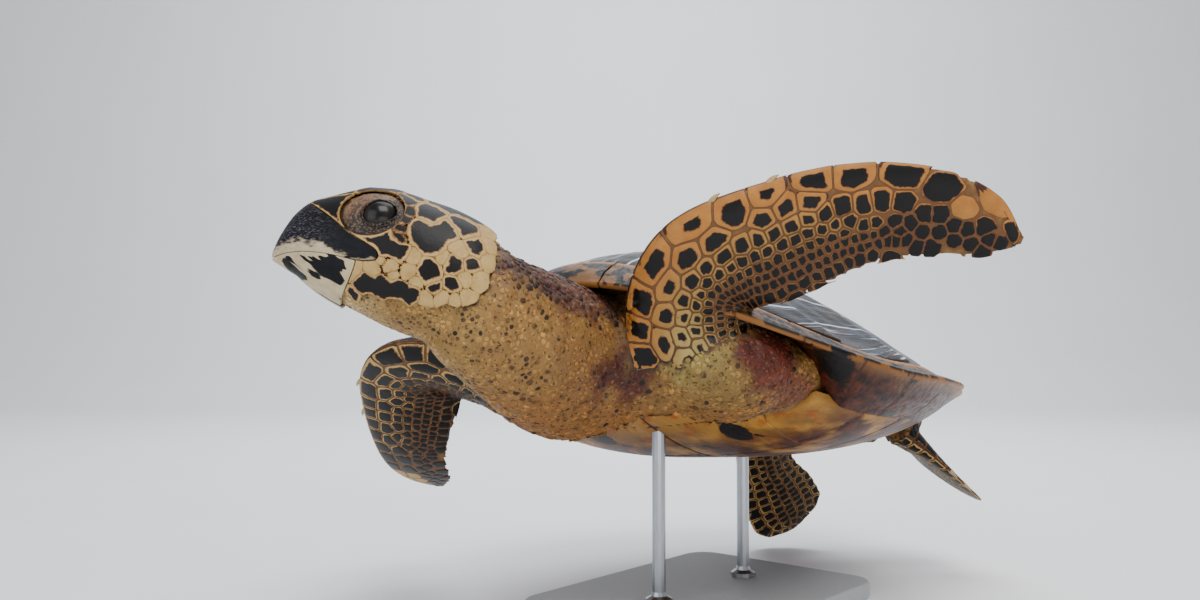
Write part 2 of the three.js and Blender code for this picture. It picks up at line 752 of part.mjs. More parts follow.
// head, beak and eyes
const eyes = sides.map(([name, side]) => {
  const centre = inHead(eye.back, side * eye.out, eye.up).toArray();
  const ball = (grow) => ellipsoid(centre, Array(3).fill(eye.radius + grow));
  add(turtle, `eye_${name}`, ball(0), eyeFinish);
  return solid(ball(gap));
});
const skull = solid(headSolid());
const upperSide = [...gape, ...beakUpperTop];
const lowerSide = [...gape.slice(0, 5), ...beakLowerBack];
const upperCutter = solid(acrossHead([...raise(gape, -gap, 0), ...raise(beakUpperTop, gap, gap)]));
const lowerCutter = solid(acrossHead([...raise(gape.slice(0, 5), gap, 0), ...raise(beakLowerBack, 0, gap)]));
const upperBeak = cut(skull.intersect(solid(acrossHead(upperSide))), eyes);
const lowerBeak = cut(skull.intersect(solid(acrossHead(raise(lowerSide, -gap, 0)))), [upperCutter]);
add(turtle, 'beak_upper', geometryOf(upperBeak), beakFinish);
add(turtle, 'beak_lower', geometryOf(lowerBeak), beakFinish);
add(turtle, 'head', geometryOf(cut(skull, [...eyes, upperCutter, lowerCutter])), scaledFinish);

const neck = cut(solid(neckSolid()), [solid(headSolid(gap)), ...trunkCutters, ...limbCutters]);
add(turtle, 'neck', geometryOf(neck), skinFinish);
add(turtle, 'tail', geometryOf(cut(solid(tailSolid()), trunkCutters)), skinFinish);

// the stand, whose rods stop at the belly's plate
add(root, 'stand_base', standBase(), baseFinish);
const placedBelly = solid(plastron(gap).applyMatrix4(turtle.matrixWorld));
stand.rodX.forEach((x, i) => {
  const rod = cut(solid(standRod(x)), [placedBelly]);
  add(root, `stand_rod_${i + 1}`, geometryOf(rod), rodFinish);
});

export default root;
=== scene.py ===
import math

import bmesh
import bpy
import numpy as np
from mathutils import Matrix, Vector, noise
from mathutils.bvhtree import BVHTree
from mathutils.kdtree import KDTree


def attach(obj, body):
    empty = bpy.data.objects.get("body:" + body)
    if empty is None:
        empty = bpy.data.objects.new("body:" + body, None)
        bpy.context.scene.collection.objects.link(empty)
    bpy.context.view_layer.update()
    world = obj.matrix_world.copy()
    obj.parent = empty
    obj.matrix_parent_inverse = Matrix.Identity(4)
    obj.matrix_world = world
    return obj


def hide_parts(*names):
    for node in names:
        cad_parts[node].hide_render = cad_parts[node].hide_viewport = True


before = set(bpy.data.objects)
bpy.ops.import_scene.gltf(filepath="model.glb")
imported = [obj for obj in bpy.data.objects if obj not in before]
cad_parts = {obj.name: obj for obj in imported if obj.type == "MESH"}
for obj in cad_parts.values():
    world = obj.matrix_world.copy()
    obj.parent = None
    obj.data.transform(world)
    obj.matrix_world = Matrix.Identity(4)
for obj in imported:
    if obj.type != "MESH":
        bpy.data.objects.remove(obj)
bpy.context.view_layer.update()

# ---- the animal's own frame, in millimetres: +X ahead, +Y its left, +Z up ----

MM = 0.001
PITCH, BANK = math.radians(5), math.radians(5.5)
SWIM_HEIGHT, CENTRE_X = 226, 75
BODY_TURN = np.array(Matrix.Rotation(-PITCH, 3, "Y") @ Matrix.Rotation(BANK, 3, "X"))

SHELL = dict(length=650, half_width=253, widest=50, height=137, depth=70, nuchal_rise=88,
             tail_drop=-5, rim_line=0.86, bridge_line=0.83, plate=7, lap=4, rim_plate=14, tooth=15)
VERTEBRAL_X = [292, 192, 84, -36, -150, -268]
SEAM_HALF = [58, 46, 42, 38, 34]
CORNER_X = [262, 140, 26, -94, -206]
CORNER_HALF = [62, 92, 90, 80, 60]
RIM_X = [262, 138, 12, -122, -232]
MARGINAL_COUNT, MARGINAL_START, RIM_LIP = 12, 0.235, 3
PLASTRON_HALF = [[-262, 6], [-250, 40], [-220, 70], [-178, 96], [-110, 108], [0, 118], [110, 128],
                 [165, 130], [220, 112], [262, 78], [284, 40], [292, 5]]
PLASTRON_THICK = 9
BRIDGE_ENDS = [-178, 162]
UNDER_PLATES = [5, 13]
LENS_SHARE = 0.82

# bodies of the limbs: place along, half width to the leading and trailing edge, thickness
FORE_SHAPE = [[0, 50, 50, 60], [0.15, 56, 58, 54], [0.30, 56, 62, 44], [0.42, 50, 62, 32],
              [0.55, 49, 54, 23], [0.68, 46, 42, 17], [0.82, 41, 33, 12], [0.93, 29, 24, 8],
              [1, 3, 3, 3]]
HIND_SHAPE = [[0, 34, 34, 46], [0.20, 35, 37, 34], [0.42, 38, 44, 20], [0.62, 46, 56, 13],
              [0.80, 48, 58, 10], [0.93, 36, 42, 7], [1, 5, 6, 3]]
LIMBS = {
    "front_left": dict(side=1, shape=FORE_SHAPE, length=399, root=[232, 101, -8],
                       aim=[0.58, 0.30, 0.76], lead=[0.67, -0.70, -0.24], elbow=0.29,
                       sweep=[81, 35], flap=[-6, -12], twist=27, claws=[0.39, 0.50]),
    "front_right": dict(side=-1, shape=FORE_SHAPE, length=380, root=[222, -117, -5],
                        aim=[0.79, -0.50, 0.35], lead=[0.48, 0.86, 0.16], elbow=0.33,
                        sweep=[108, 11], flap=[-34, 28], twist=24, claws=[0.43, 0.54]),
    "rear_left": dict(side=1, shape=HIND_SHAPE, length=160, root=[-190, 88, -26],
                      aim=[-0.60, 0.42, -0.56], lead=[0.72, 0.66, -0.20], elbow=0.35,
                      sweep=[12, 8], flap=[-6, 10], twist=4, claws=[0.52, 0.66]),
    "rear_right": dict(side=-1, shape=HIND_SHAPE, length=172, root=[-192, -98, -26],
                       aim=[-0.38, -0.12, -0.92], lead=[0.62, -0.74, -0.16], elbow=0.35,
                       sweep=[14, 8], flap=[4, 8], twist=-6, claws=[0.52, 0.66]),
}
LIMB_STEPS = 60

# the head, behind the beak's tip: distance, top, bottom, half width, fullness
HEAD_TIP, HEAD_AXIS = np.array([563, -81, 92]), np.array([127, -107, 11])
HEAD_SHAPE = [[0, 4, -1, 3, 2], [4, 15, -3, 9, 2], [11, 28, -6, 15, 2], [20, 40, -10, 20, 2.1],
              [30, 48.5, -18, 25, 2.1], [44, 53.5, -27, 30, 2.2], [60, 59, -35, 35, 2.3],
              [76, 63, -42, 40, 2.4], [92, 63, -49, 44, 2.4], [108, 59.5, -54.5, 47.5, 2.3],
              [124, 55.5, -59, 49.5, 2.2], [140, 51.5, -63.5, 50, 2.2], [157, 45.5, -69, 48, 2.1],
              [174, 37, -74, 43, 2], [188, 22, -66, 32, 2]]
EYE = dict(back=84, out=27, up=34, radius=16.5)
GAPE = [[-6, -1], [0, -0.5], [17, 4], [45, 2], [68, -3.5], [87, -4]]
BEAK_UPPER_TOP = [[86, 4], [76, 10], [62, 18], [46, 31], [30, 42], [21, 49], [-6, 49]]
BEAK_LOWER_BACK = [[70, -4], [66, -18], [58, -34], [57, -60], [-6, -60]]
NECK_SHAPE = [[[454, 30, 62], 47, 52], [[428, 29, 47], 52, 58], [[398, 28, 36], 56, 64],
              [[364, 22, 27], 62, 70], [[326, 12, 19], 72, 73], [[284, 4, 12], 78, 72]]
SWELLINGS = [[[258, 0, 14], [86, 112, 68]], [[214, 112, 8], [84, 78, 50]],
             [[206, -108, 8], [84, 66, 48]], [[-196, 84, -26], [60, 44, 28]],
             [[-196, -84, -26], [60, 44, 28]]]
POCKETS = [[[172, 132, 4], [62, 62, 38]], [[172, -132, 4], [62, 62, 38]]]
TAIL = dict(root=[-262, 0, -34], tip=[-348, 0, -44], radius=19)

SKIN_INSET = 0.9                      # the skin lies this far inside the solids
FINE = 4.0                            # size of the skin's mesh before it is made finer
SWOLLEN = 4.6                         # least half thickness of a limb in the remesh
JOIN_ROUNDS = 44                      # rounds of smoothing where neck, limbs and body join

# the camera as read from the photo, in metres and degrees, and the lights:
# name, place, target, size, power, colour
CAMERA = dict(azimuth=33, distance=1.205, height=0.294, look=220.75, look_up=2.1, lens=30.75)
MIDDLE = (0, 0, 0.25)
LIGHTS = [
    ("key", (0.6, 1.3, 2.2), MIDDLE, (1.6, 1.2), 52, (1, 0.97, 0.93)),
    ("fill", (2.2, 0.2, 0.9), MIDDLE, (1.6, 1.6), 16, (0.95, 0.97, 1)),
    ("top", (-0.6, -0.3, 2.6), MIDDLE, (2.0, 2.0), 40, (0.93, 0.96, 1)),
    ("back", (-1.2, -1.0, 2.6), (-2.6, -2.2, 1.0), (2.4, 1.6), 90, (1, 1, 1)),
    ("low", (0.9, 1.6, 0.25), MIDDLE, (1.4, 0.5), 5, (1, 0.93, 0.85)),
]

rng = np.random.default_rng(7)


# ---- small tools ----

def placed(points):
    """Points of the animal's frame in the row frame, in metres."""
    return (np.asarray(points, float) @ BODY_TURN.T + [-CENTRE_X, 0, SWIM_HEIGHT]) * MM


def unplaced(points):
    """Points of the row frame, in metres, in the animal's frame."""
    return (np.asarray(points, float) / MM - [-CENTRE_X, 0, SWIM_HEIGHT]) @ BODY_TURN


def unit(v):
    v = np.asarray(v, float)
    return v / np.maximum(np.linalg.norm(v, axis=-1, keepdims=True), 1e-12)


def mix(a, b, t):
    return a + (b - a) * t


def ease(a, b, x):
    t = np.clip((np.asarray(x, float) - a) / (b - a), 0, 1)
    return t * t * (3 - 2 * t)


def curve(rows, x):
    """Smooth values between the rows of a table whose first column rises."""
    rows = np.asarray(rows, float)
    x = np.atleast_1d(np.asarray(x, float))
    xs, ys = rows[:, 0], rows[:, 1:]
    step = np.diff(xs)[:, None]
    slope = np.diff(ys, axis=0) / step
    tangent = np.zeros_like(ys)
    tangent[0], tangent[-1] = slope[0], slope[-1]
    w1, w2 = 2 * step[1:] + step[:-1], step[1:] + 2 * step[:-1]
    with np.errstate(divide="ignore", invalid="ignore"):
        middle = (w1 + w2) / (w1 / slope[:-1] + w2 / slope[1:])
    tangent[1:-1] = np.where(slope[:-1] * slope[1:] > 0, middle, 0)
    i = np.clip(np.searchsorted(xs, x, side="right") - 1, 0, len(xs) - 2)
    h = step[i]
    t = np.clip((x - xs[i])[:, None] / h, 0, 1)
    return ((1 + 2 * t) * (1 - t) ** 2 * ys[i] + t * (1 - t) ** 2 * h * tangent[i]
            + t * t * (3 - 2 * t) * ys[i + 1] + t * t * (t - 1) * h * tangent[i + 1])


def wobble(points, size, seed=0, octaves=3):
    """Smooth noise about zero at points in millimetres, with features of this size."""
    shift = Vector((seed * 17.3, seed * 5.1, seed * 9.7))
    return np.array([noise.fractal(Vector(p) / size + shift, 1, 2, octaves) for p in points])


def loft(rings):
    """Points and faces of a closed skin over rings of equal count."""
    rings = np.asarray(rings, float)
    count, around = rings.shape[:2]
    index = np.arange(count * around).reshape(count, around)
    turned = np.roll(index, -1, axis=1)
    quads = np.stack([index[:-1], turned[:-1], turned[1:], index[1:]], -1).reshape(-1, 4)
    ends = rings[[0, -1]].mean(axis=1)
    first, last = count * around, count * around + 1
    fans = [np.stack([turned[0], index[0], np.full(around, first)], -1),
            np.stack([index[-1], turned[-1], np.full(around, last)], -1)]
    return np.vstack([rings.reshape(-1, 3), ends]), [quads, np.vstack(fans)]


def joined(parts):
    """Several (points, [faces]) as one."""
    points, quads, triangles, start = [], [], [], 0
    for some, faces in parts:
        points.append(some)
        for face in faces:
            if len(face):
                (quads if face.shape[1] == 4 else triangles).append(face + start)
        start += len(some)
    sets = [np.vstack(kind) for kind in (quads, triangles) if kind]
    return np.vstack(points), sets


def mesh_of(name, points, face_sets):
    """A Blender mesh from points in metres."""
    mesh = bpy.data.meshes.new(name)
    sizes = np.concatenate([np.full(len(f), f.shape[1]) for f in face_sets])
    corners = np.concatenate([f.ravel() for f in face_sets])
    mesh.vertices.add(len(points))
    mesh.vertices.foreach_set("co", np.asarray(points, np.float32).ravel())
    mesh.loops.add(len(corners))
    mesh.loops.foreach_set("vertex_index", corners.astype(np.int32))
    mesh.polygons.add(len(sizes))
    mesh.polygons.foreach_set("loop_start", np.concatenate([[0], np.cumsum(sizes)[:-1]]).astype(np.int32))
    mesh.update(calc_edges=True)
    mesh.validate()
    return mesh


def face_out(mesh):
    """Turns every face outwards."""
    work = bmesh.new()
    work.from_mesh(mesh)
    bmesh.ops.recalc_face_normals(work, faces=work.faces)
    work.to_mesh(mesh)
    work.free()


def paint_values(mesh, **values):
    """Stores numbers or vectors at the mesh's points, for its material to read."""
    for name, numbers in values.items():
        numbers = np.asarray(numbers, np.float32)
        kind = "FLOAT" if numbers.ndim == 1 else "FLOAT_VECTOR"
        layer = mesh.attributes.new(name, kind, "POINT")
        layer.data.foreach_set("value" if numbers.ndim == 1 else "vector", numbers.ravel())


def add_piece(name, mesh, paint, nodes=(), smooth_angle=None):
    """A piece that rides on the animal and takes the place of the CAD nodes named."""
    piece = bpy.data.objects.new(name, mesh)
    bpy.context.scene.collection.objects.link(piece)
    mesh.materials.append(paint)
    mesh.shade_smooth()
    if smooth_angle:
        mesh.set_sharp_from_angle(angle=math.radians(smooth_angle))
    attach(piece, "root")
    if nodes:
        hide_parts(*nodes)
    return piece


def solid_piece(name, parts, paint, nodes=(), values=None, smooth_angle=None):
    """One piece from several (points, faces) in the animal's frame."""
    points, faces = joined(parts)
    mesh = mesh_of(name, placed(points), faces)
    paint_values(mesh, **(values or {}))
    face_out(mesh)
    return add_piece(name, mesh, paint, nodes, smooth_angle)


# ---- the shell's surfaces ----

FRONT_REACH = SHELL["length"] / 2 - SHELL["widest"]
REAR_REACH = SHELL["length"] / 2 + SHELL["widest"]


def outline_share(x, y, scale):
    """1 on the margin drawn at this scale, less inside it."""
    along = np.abs(x - SHELL["widest"]) / scale
    across = np.abs(y) / scale / SHELL["half_width"]
    return np.where(x > SHELL["widest"], (along / FRONT_REACH) ** 2.2 + across ** 2,
                    (along / REAR_REACH) ** 1.9 + across ** 1.25)


def share_at(x, y):
    """Share of the way from the widest place's centre out to the margin."""
    low = np.full(np.broadcast(x, y).shape, 1e-4)
    high = np.full(low.shape, 3.0)
    for _ in range(28):
        middle = (low + high) / 2
        out = outline_share(x, y, middle) > 1
        low = np.where(out, middle, low)
        high = np.where(out, high, middle)
    return high


def margin(t, share=1, side=1):
    """The margin's points, from the front (t 0) to the rear (t pi), drawn in by the share."""
    c = np.abs(np.cos(t))
    front = t < math.pi / 2
    x = np.where(front, FRONT_REACH * c ** (2 / 2.2), -REAR_REACH * c ** (2 / 1.9))
    s = np.abs(np.sin(t))
    y = np.where(front, s, s ** (2 / 1.25))
    return SHELL["widest"] + x * share, side * SHELL["half_width"] * y * share


def margin_angle(x, share):
    """The margin's t at a place along the shell."""
    along = (x - SHELL["widest"]) / share
    if along > 0:
        return math.acos(min(1, along / FRONT_REACH) ** 1.1)
    return math.pi - math.acos(min(1, -along / REAR_REACH) ** 0.95)


def margin_height(x):
    front = np.clip((x - SHELL["widest"]) / FRONT_REACH, 0, 1)
    rear = np.clip((SHELL["widest"] - x) / REAR_REACH, 0, 1)
    return SHELL["nuchal_rise"] * front ** 2.2 + SHELL["tail_drop"] * rear ** 2


def dome_height(x, y):
    share = share_at(x, y)
    edge = SHELL["widest"] + (x - SHELL["widest"]) / share
    angle = np.arctan2(y, x - SHELL["widest"])
    steep = mix(0.74, 1.3, np.sin(angle) ** 2)
    rise = np.maximum(0, np.cos(math.pi / 2 * np.minimum(share, 1))) ** steep
    return SHELL["height"] * rise + margin_height(edge) * share ** 1.5


def belly_height(x, y):
    share = np.minimum(share_at(x, y), 1)
    edge = SHELL["widest"] + (x - SHELL["widest"]) / np.maximum(share, 1e-3)
    return -SHELL["depth"] * (1 - share ** 2.6) ** 0.7 + margin_height(edge) * share ** 1.5


def openness(x):
    """1 where the marginals' underside is free and 0 along the bridges."""
    return 1 - ease(-235, -180, x) * (1 - ease(150, 215, x))


# ---- limbs ----

def turned(v, axis, angle):
    """A vector turned about an axis."""
    axis = unit(axis)
    return (v * math.cos(angle) + np.cross(axis, v) * math.sin(angle)
            + axis * (v @ axis) * (1 - math.cos(angle)))


class Limb:
    """A limb's frames: T runs to the tip, L to the leading edge, N to the back."""

    def __init__(self, name, side, shape, length, root, aim, lead, elbow, sweep, flap, twist, claws):
        self.name, self.side, self.shape, self.length, self.claws = name, side, shape, length, claws
        T = unit(aim)
        L = unit(np.array(lead) - T * (np.array(lead) @ T))
        N = np.cross(L, T) * side
        place = np.array(root, float)
        bends = [[[elbow, 0.16, sweep[0]], [0.75, 0.25, sweep[1]]],
                 [[elbow, 0.20, flap[0]], [0.75, 0.25, flap[1]]], [[0.4, 0.3, twist]]]

        def bend(items, a, b):
            return sum(math.radians(deg) * float(ease(c - half, c + half, b) - ease(c - half, c + half, a))
                       for c, half, deg in items)

        rows = []
        for i in range(LIMB_STEPS + 1):
            u = i / LIMB_STEPS
            rate = bend(bends[0], max(0, u - 0.02), min(1, u + 0.02)) / 0.04
            rows.append(np.concatenate([[u], place, T, L, N, [length / max(abs(rate), 1e-6)]]))
            place = place + T * length / LIMB_STEPS
            for k, (axis, sign) in enumerate(((2, side), (1, side), (0, -side))):
                turn = sign * bend(bends[k], u, u + 1 / LIMB_STEPS)
                about = (T, L, N)[axis]
                T, L, N = (turned(v, about, turn) for v in (T, L, N))
        self.rows = np.array(rows)

    def at(self, u):
        """Place, T, L, N and the reach towards the trailing edge at u."""
        u = np.clip(np.asarray(u, float), 0, 1)
        table = np.stack([np.interp(u, self.rows[:, 0], column) for column in self.rows.T], -1)
        T, L, N = (unit(table[..., k:k + 3]) for k in (4, 7, 10))
        return table[..., 1:4], T, L, N, table[..., 13]

    def widths(self, u):
        """Half widths to the leading and the trailing edge, and the thickness."""
        lead, trail, thick = curve(self.shape, u).T
        radius = self.at(u)[4]
        return lead, np.minimum(trail, 0.9 * radius), thick

    def depth(self, u, w, extra=0.0):
        """Half the limb's thickness at a place along and across it."""
        lead, trail, thick = self.widths(u)
        c = np.clip(np.where(w > 0, w / lead, w / trail), -1, 1)
        fine = 1 - 0.4 * np.maximum(0, -c) ** 2
        half = thick / 2 * fine
        return np.sqrt(1 - c * c) * np.maximum(half, extra)

    def point(self, u, w, h):
        P, _, L, N, _ = self.at(u)
        return P + L * np.asarray(w)[..., None] + N * np.asarray(h)[..., None]

    def swollen(self, around=40):
        """The limb as a closed loft that is nowhere thin, for the remesh."""
        rings = []
        for u in np.linspace(0, 1, LIMB_STEPS + 1):
            lead, trail, thick = (float(v[0]) for v in self.widths(np.array([u])))
            a = 2 * math.pi * np.arange(around) / around
            c = np.cos(a)
            fine = 1 - 0.4 * np.maximum(0, -c) ** 2
            w = c * np.where(c > 0, max(lead, 4), max(trail, 4))
            h = np.sin(a) * np.maximum(thick / 2 * fine, SWOLLEN)
            rings.append(self.point(np.full(around, u), w, h))
        return loft(rings)

    def local(self, points):
        """(u, w, h) of points; those far from the limb get a place far outside it."""
        fine = np.linspace(0, 1, 3 * LIMB_STEPS + 1)
        P, T, L, N, _ = self.at(fine)
        out = np.full((len(points), 3), [0.0, 1e3, 1e3])
        near = np.flatnonzero(((points > P.min(0) - 75) & (points < P.max(0) + 75)).all(1))
        for start in range(0, len(near), 8000):
            some = near[start:start + 8000]
            gap = points[some][:, None, :] - P[None]
            far = np.sqrt((gap ** 2).sum(-1))
            score = np.abs((gap * T).sum(-1)) + np.where(far > 85, 1000, 0) + 0.02 * far
            i = score.argmin(axis=1)
            pick = gap[np.arange(len(some)), i]
            out[some] = np.stack([fine[i], (pick * L[i]).sum(1), (pick * N[i]).sum(1)], -1)
        return out.T


limbs = {name: Limb(name, **facts) for name, facts in LIMBS.items()}


# ---- head and neck ----

FORWARD = unit(HEAD_AXIS)
HEAD_LEFT = unit(np.cross([0, 0, 1], FORWARD))
HEAD_UP = np.cross(FORWARD, HEAD_LEFT)


def in_head(back, left, up):
    back, left, up = (np.asarray(v, float)[..., None] for v in (back, left, up))
    return HEAD_TIP - FORWARD * back + HEAD_LEFT * left + HEAD_UP * up


def head_local(points):
    """How far points lie behind the beak's tip, to the head's left and above its axis."""
    gap = np.asarray(points, float) - HEAD_TIP
    return -(gap @ FORWARD), gap @ HEAD_LEFT, gap @ HEAD_UP


def head_surface(back, angle, grow=0.0):
    """A point of the head; the angle is 0 on top and a quarter turn on the left."""
    back, angle = np.broadcast_arrays(np.asarray(back, float), np.asarray(angle, float))
    shape = back.shape
    top, bottom, half, full = curve(HEAD_SHAPE, back.ravel()).T.reshape(4, *shape)
    level = mix(bottom, top, 0.45)
    s, c = np.sin(angle), np.cos(angle)
    across, tall = half + grow, np.where(c > 0, top - level, level - bottom) + grow
    reach = (np.abs(s / across) ** full + np.abs(c / tall) ** full) ** (-1 / full)
    return in_head(back, s * reach, level + c * reach)


def head_loft(grow=0.0, around=64):
    angles = 2 * math.pi * np.arange(around) / around
    backs = np.concatenate([[0.3, 1.5], np.arange(4, 188, 3.0), [188]])
    return loft([head_surface(b, angles, grow) for b in backs])


def neck_loft(around=48):
    centres = np.array([row[0] for row in NECK_SHAPE], float)
    halves = np.array([row[1:] for row in NECK_SHAPE], float)
    rows = np.column_stack([np.arange(len(centres)), centres, halves])
    fine = curve(rows, np.linspace(0, len(centres) - 1, 30))
    angles = 2 * math.pi * np.arange(around) / around
    rings = []
    for i, row in enumerate(fine):
        ahead, behind = fine[max(0, i - 1)][:3], fine[min(len(fine) - 1, i + 1)][:3]
        along = unit(behind - ahead)
        left = unit(np.cross([0, 0, 1], along))
        up = np.cross(along, left)
        ring = row[:3] + np.outer(np.cos(angles), left) * row[3]
        rings.append(ring + np.outer(np.sin(angles), up) * row[4])
    return loft(rings)


def tail_loft(around=32):
    root, tip = np.array(TAIL["root"], float), np.array(TAIL["tip"], float)
    angles = 2 * math.pi * np.arange(around) / around
    rings = []
    for s in np.concatenate([np.linspace(0, 0.9, 12), [0.95, 0.98, 1]]):
        radius = TAIL["radius"] * math.sqrt(1 - s ** 1.6 * 0.985)
        ring = np.stack([0 * angles, radius * np.cos(angles), 0.8 * radius * np.sin(angles)], -1)
        rings.append(mix(root, tip, s) + ring)
    return loft(rings)


def ellipsoid(centre, half, around=40, along=24):
    polar = np.linspace(0.03, math.pi - 0.03, along)
    turn = 2 * math.pi * np.arange(around) / around
    rings = [np.stack([math.sin(p) * np.cos(turn), math.sin(p) * np.sin(turn),
                       np.full(around, math.cos(p))], -1) * half + centre for p in polar]
    return loft(rings)


def lens_loft(around=72):
    """The hidden flesh inside the shell."""
    t = np.linspace(0, 2 * math.pi, around, endpoint=False)
    side = np.where(t <= math.pi, 1, -1)
    t = np.where(t <= math.pi, t, 2 * math.pi - t)
    rings = []
    for share, top in [(s, 0) for s in np.linspace(0.04, LENS_SHARE, 10)] + [
            (s, 1) for s in np.linspace(LENS_SHARE, 0.04, 10)]:
        x, y = margin(t, share, side)
        slack = UNDER_PLATES[0] + UNDER_PLATES[1] * share ** 3
        z = (dome_height(x, y) - SHELL["plate"] - slack) if top else (
            belly_height(x, y) + PLASTRON_THICK + slack)
        rings.append(np.stack([x, y, z], -1))
    return loft(rings)


# ---- materials ----

def colour(code):
    """Linear colour of a web colour."""
    channels = [int(code[i:i + 2], 16) / 255 for i in (0, 2, 4)]
    return [c / 12.92 if c < 0.04045 else ((c + 0.055) / 1.055) ** 2.4 for c in channels] + [1]


class Paint:
    """A material's node tree, with short ways to add to it."""

    def __init__(self, name, roughness, **sockets):
        self.material = bpy.data.materials.new(name)
        self.material.use_nodes = True
        self.tree = self.material.node_tree
        self.shader = self.tree.nodes["Principled BSDF"]
        self.shader.inputs["Roughness"].default_value = roughness
        for socket, value in sockets.items():
            self.shader.inputs[socket.replace("_", " ")].default_value = value

    def node(self, kind, inputs=None, **settings):
        node = self.tree.nodes.new("ShaderNode" + kind)
        for key, value in settings.items():
            setattr(node, key, value)
        for key, value in (inputs or {}).items():
            if isinstance(value, bpy.types.NodeSocket):
                self.tree.links.new(value, node.inputs[key])
            elif value is not None:
                node.inputs[key].default_value = value
        return node

    def attribute(self, name):
        return self.node("Attribute", attribute_name=name).outputs["Fac"]

    def vector(self, name):
        return self.node("Attribute", attribute_name=name).outputs["Vector"]

    def tint(self):
        """The colour kept at the mesh's points."""
        return self.node("Attribute", attribute_name="tint").outputs["Color"]

    def place(self):
        return self.node("TexCoord").outputs["Object"]

    def stretched(self, vector, scale):
        return self.node("Mapping", {"Vector": vector, "Scale": scale}).outputs["Vector"]

    def noise(self, size, detail=3, vector=None):
        """Noise from 0 to 1 with features of this size, in millimetres of the row frame."""
        vector = vector or self.place()
        return self.node("TexNoise", {"Vector": vector, "Scale": 1000 / size, "Detail": detail,
                                      "Roughness": 0.55}).outputs["Fac"]

    def texture(self, vector, scale, detail):
        """Noise from 0 to 1 over coordinates of the piece's own."""
        return self.node("TexNoise", {"Vector": vector, "Scale": scale, "Detail": detail}).outputs["Fac"]

    def cells(self, size):
        """Distance to the middle of small cells of this size, in millimetres."""
        return self.node("TexVoronoi", {"Vector": self.place(), "Scale": 1000 / size}).outputs["Distance"]

    def maths(self, kind, a, b=None, c=None):
        return self.node("Math", {0: a, 1: b, 2: c}, operation=kind).outputs[0]

    def times(self, a, b):
        return self.maths("MULTIPLY", a, b)

    def combined(self, x, y=None, z=None):
        return self.node("CombineXYZ", {0: x, 1: y, 2: z}).outputs[0]

    def step(self, value, low, high, start=0.0, end=1.0):
        """A soft step from start to end while the value goes from low to high."""
        return self.node("MapRange", {0: value, 1: low, 2: high, 3: start, 4: end},
                         interpolation_type="SMOOTHSTEP").outputs[0]

    def blend(self, share, a, b):
        """Colour a where the share is 0, colour b where it is 1."""
        a, b = (colour(v) if isinstance(v, str) else v for v in (a, b))
        return self.node("Mix", {0: share, 6: a, 7: b}, data_type="RGBA").outputs[2]

    def bump(self, height, depth, before=None):
        """Relief this deep, in millimetres, over the one before."""
        return self.node("Bump", {"Height": height, "Distance": depth * MM, "Strength": 1.0,
                                  "Normal": before}).outputs["Normal"]

    def finish(self, base=None, roughness=None, normal=None):
        for socket, value in (("Base Color", base), ("Roughness", roughness), ("Normal", normal)):
            if isinstance(value, bpy.types.NodeSocket):
                self.tree.links.new(value, self.shader.inputs[socket])
            elif value is not None:
                self.shader.inputs[socket].default_value = value
        return self.material


# ---- the skin ----

def remeshed(points, face_sets, size):
    """The union of closed forms as a mesh of even quads."""
    mesh = mesh_of("union", points, face_sets)
    form = bpy.data.objects.new("union", mesh)
    bpy.context.scene.collection.objects.link(form)
    change = form.modifiers.new("union", "REMESH")
    change.mode = "VOXEL"
    change.voxel_size = size
    even = bpy.data.meshes.new_from_object(form.evaluated_get(bpy.context.evaluated_depsgraph_get()))
    bpy.data.objects.remove(form)
    bpy.data.meshes.remove(mesh)
    return even


def read_points(mesh):
    points = np.empty(len(mesh.vertices) * 3, np.float32)
    mesh.vertices.foreach_get("co", points)
    return points.reshape(-1, 3).astype(float)


def write_points(mesh, points):
    mesh.vertices.foreach_set("co", np.asarray(points, np.float32).ravel())
    mesh.update()


def read_normals(mesh):
    normals = np.empty(len(mesh.vertices) * 3, np.float32)
    mesh.vertex_normals.foreach_get("vector", normals)
    return normals.reshape(-1, 3).astype(float)


def read_edges(mesh):
    edges = np.empty(len(mesh.edges) * 2, np.int32)
    mesh.edges.foreach_get("vertices", edges)
    return edges.reshape(-1, 2)


def smoothed(points, edges, rounds, weight=0.5, back=-0.52, keep=None):
    """Evens the points out without shrinking them; keep is each point's share left as it is."""
    a, b = edges.T
    count = np.maximum(np.bincount(a, minlength=len(points)) + np.bincount(b, minlength=len(points)), 1)
    free = 1 if keep is None else (1 - keep)[:, None]
    for k in range(rounds):
        sums = [np.bincount(a, points[b, c], len(points)) + np.bincount(b, points[a, c], len(points))
                for c in range(3)]
        total = np.stack(sums, -1)
        points = points + (total / count[:, None] - points) * (back if k % 2 else weight) * free
    return points


def made_finer(mesh, chosen):
    """Splits the faces whose points are all chosen."""
    work = bmesh.new()
    work.from_mesh(mesh)
    work.verts.ensure_lookup_table()
    edges = [e for e in work.edges if chosen[e.verts[0].index] and chosen[e.verts[1].index]]
    bmesh.ops.subdivide_edges(work, edges=edges, cuts=1, use_grid_fill=True)
    work.to_mesh(mesh)
    work.free()
    mesh.update()


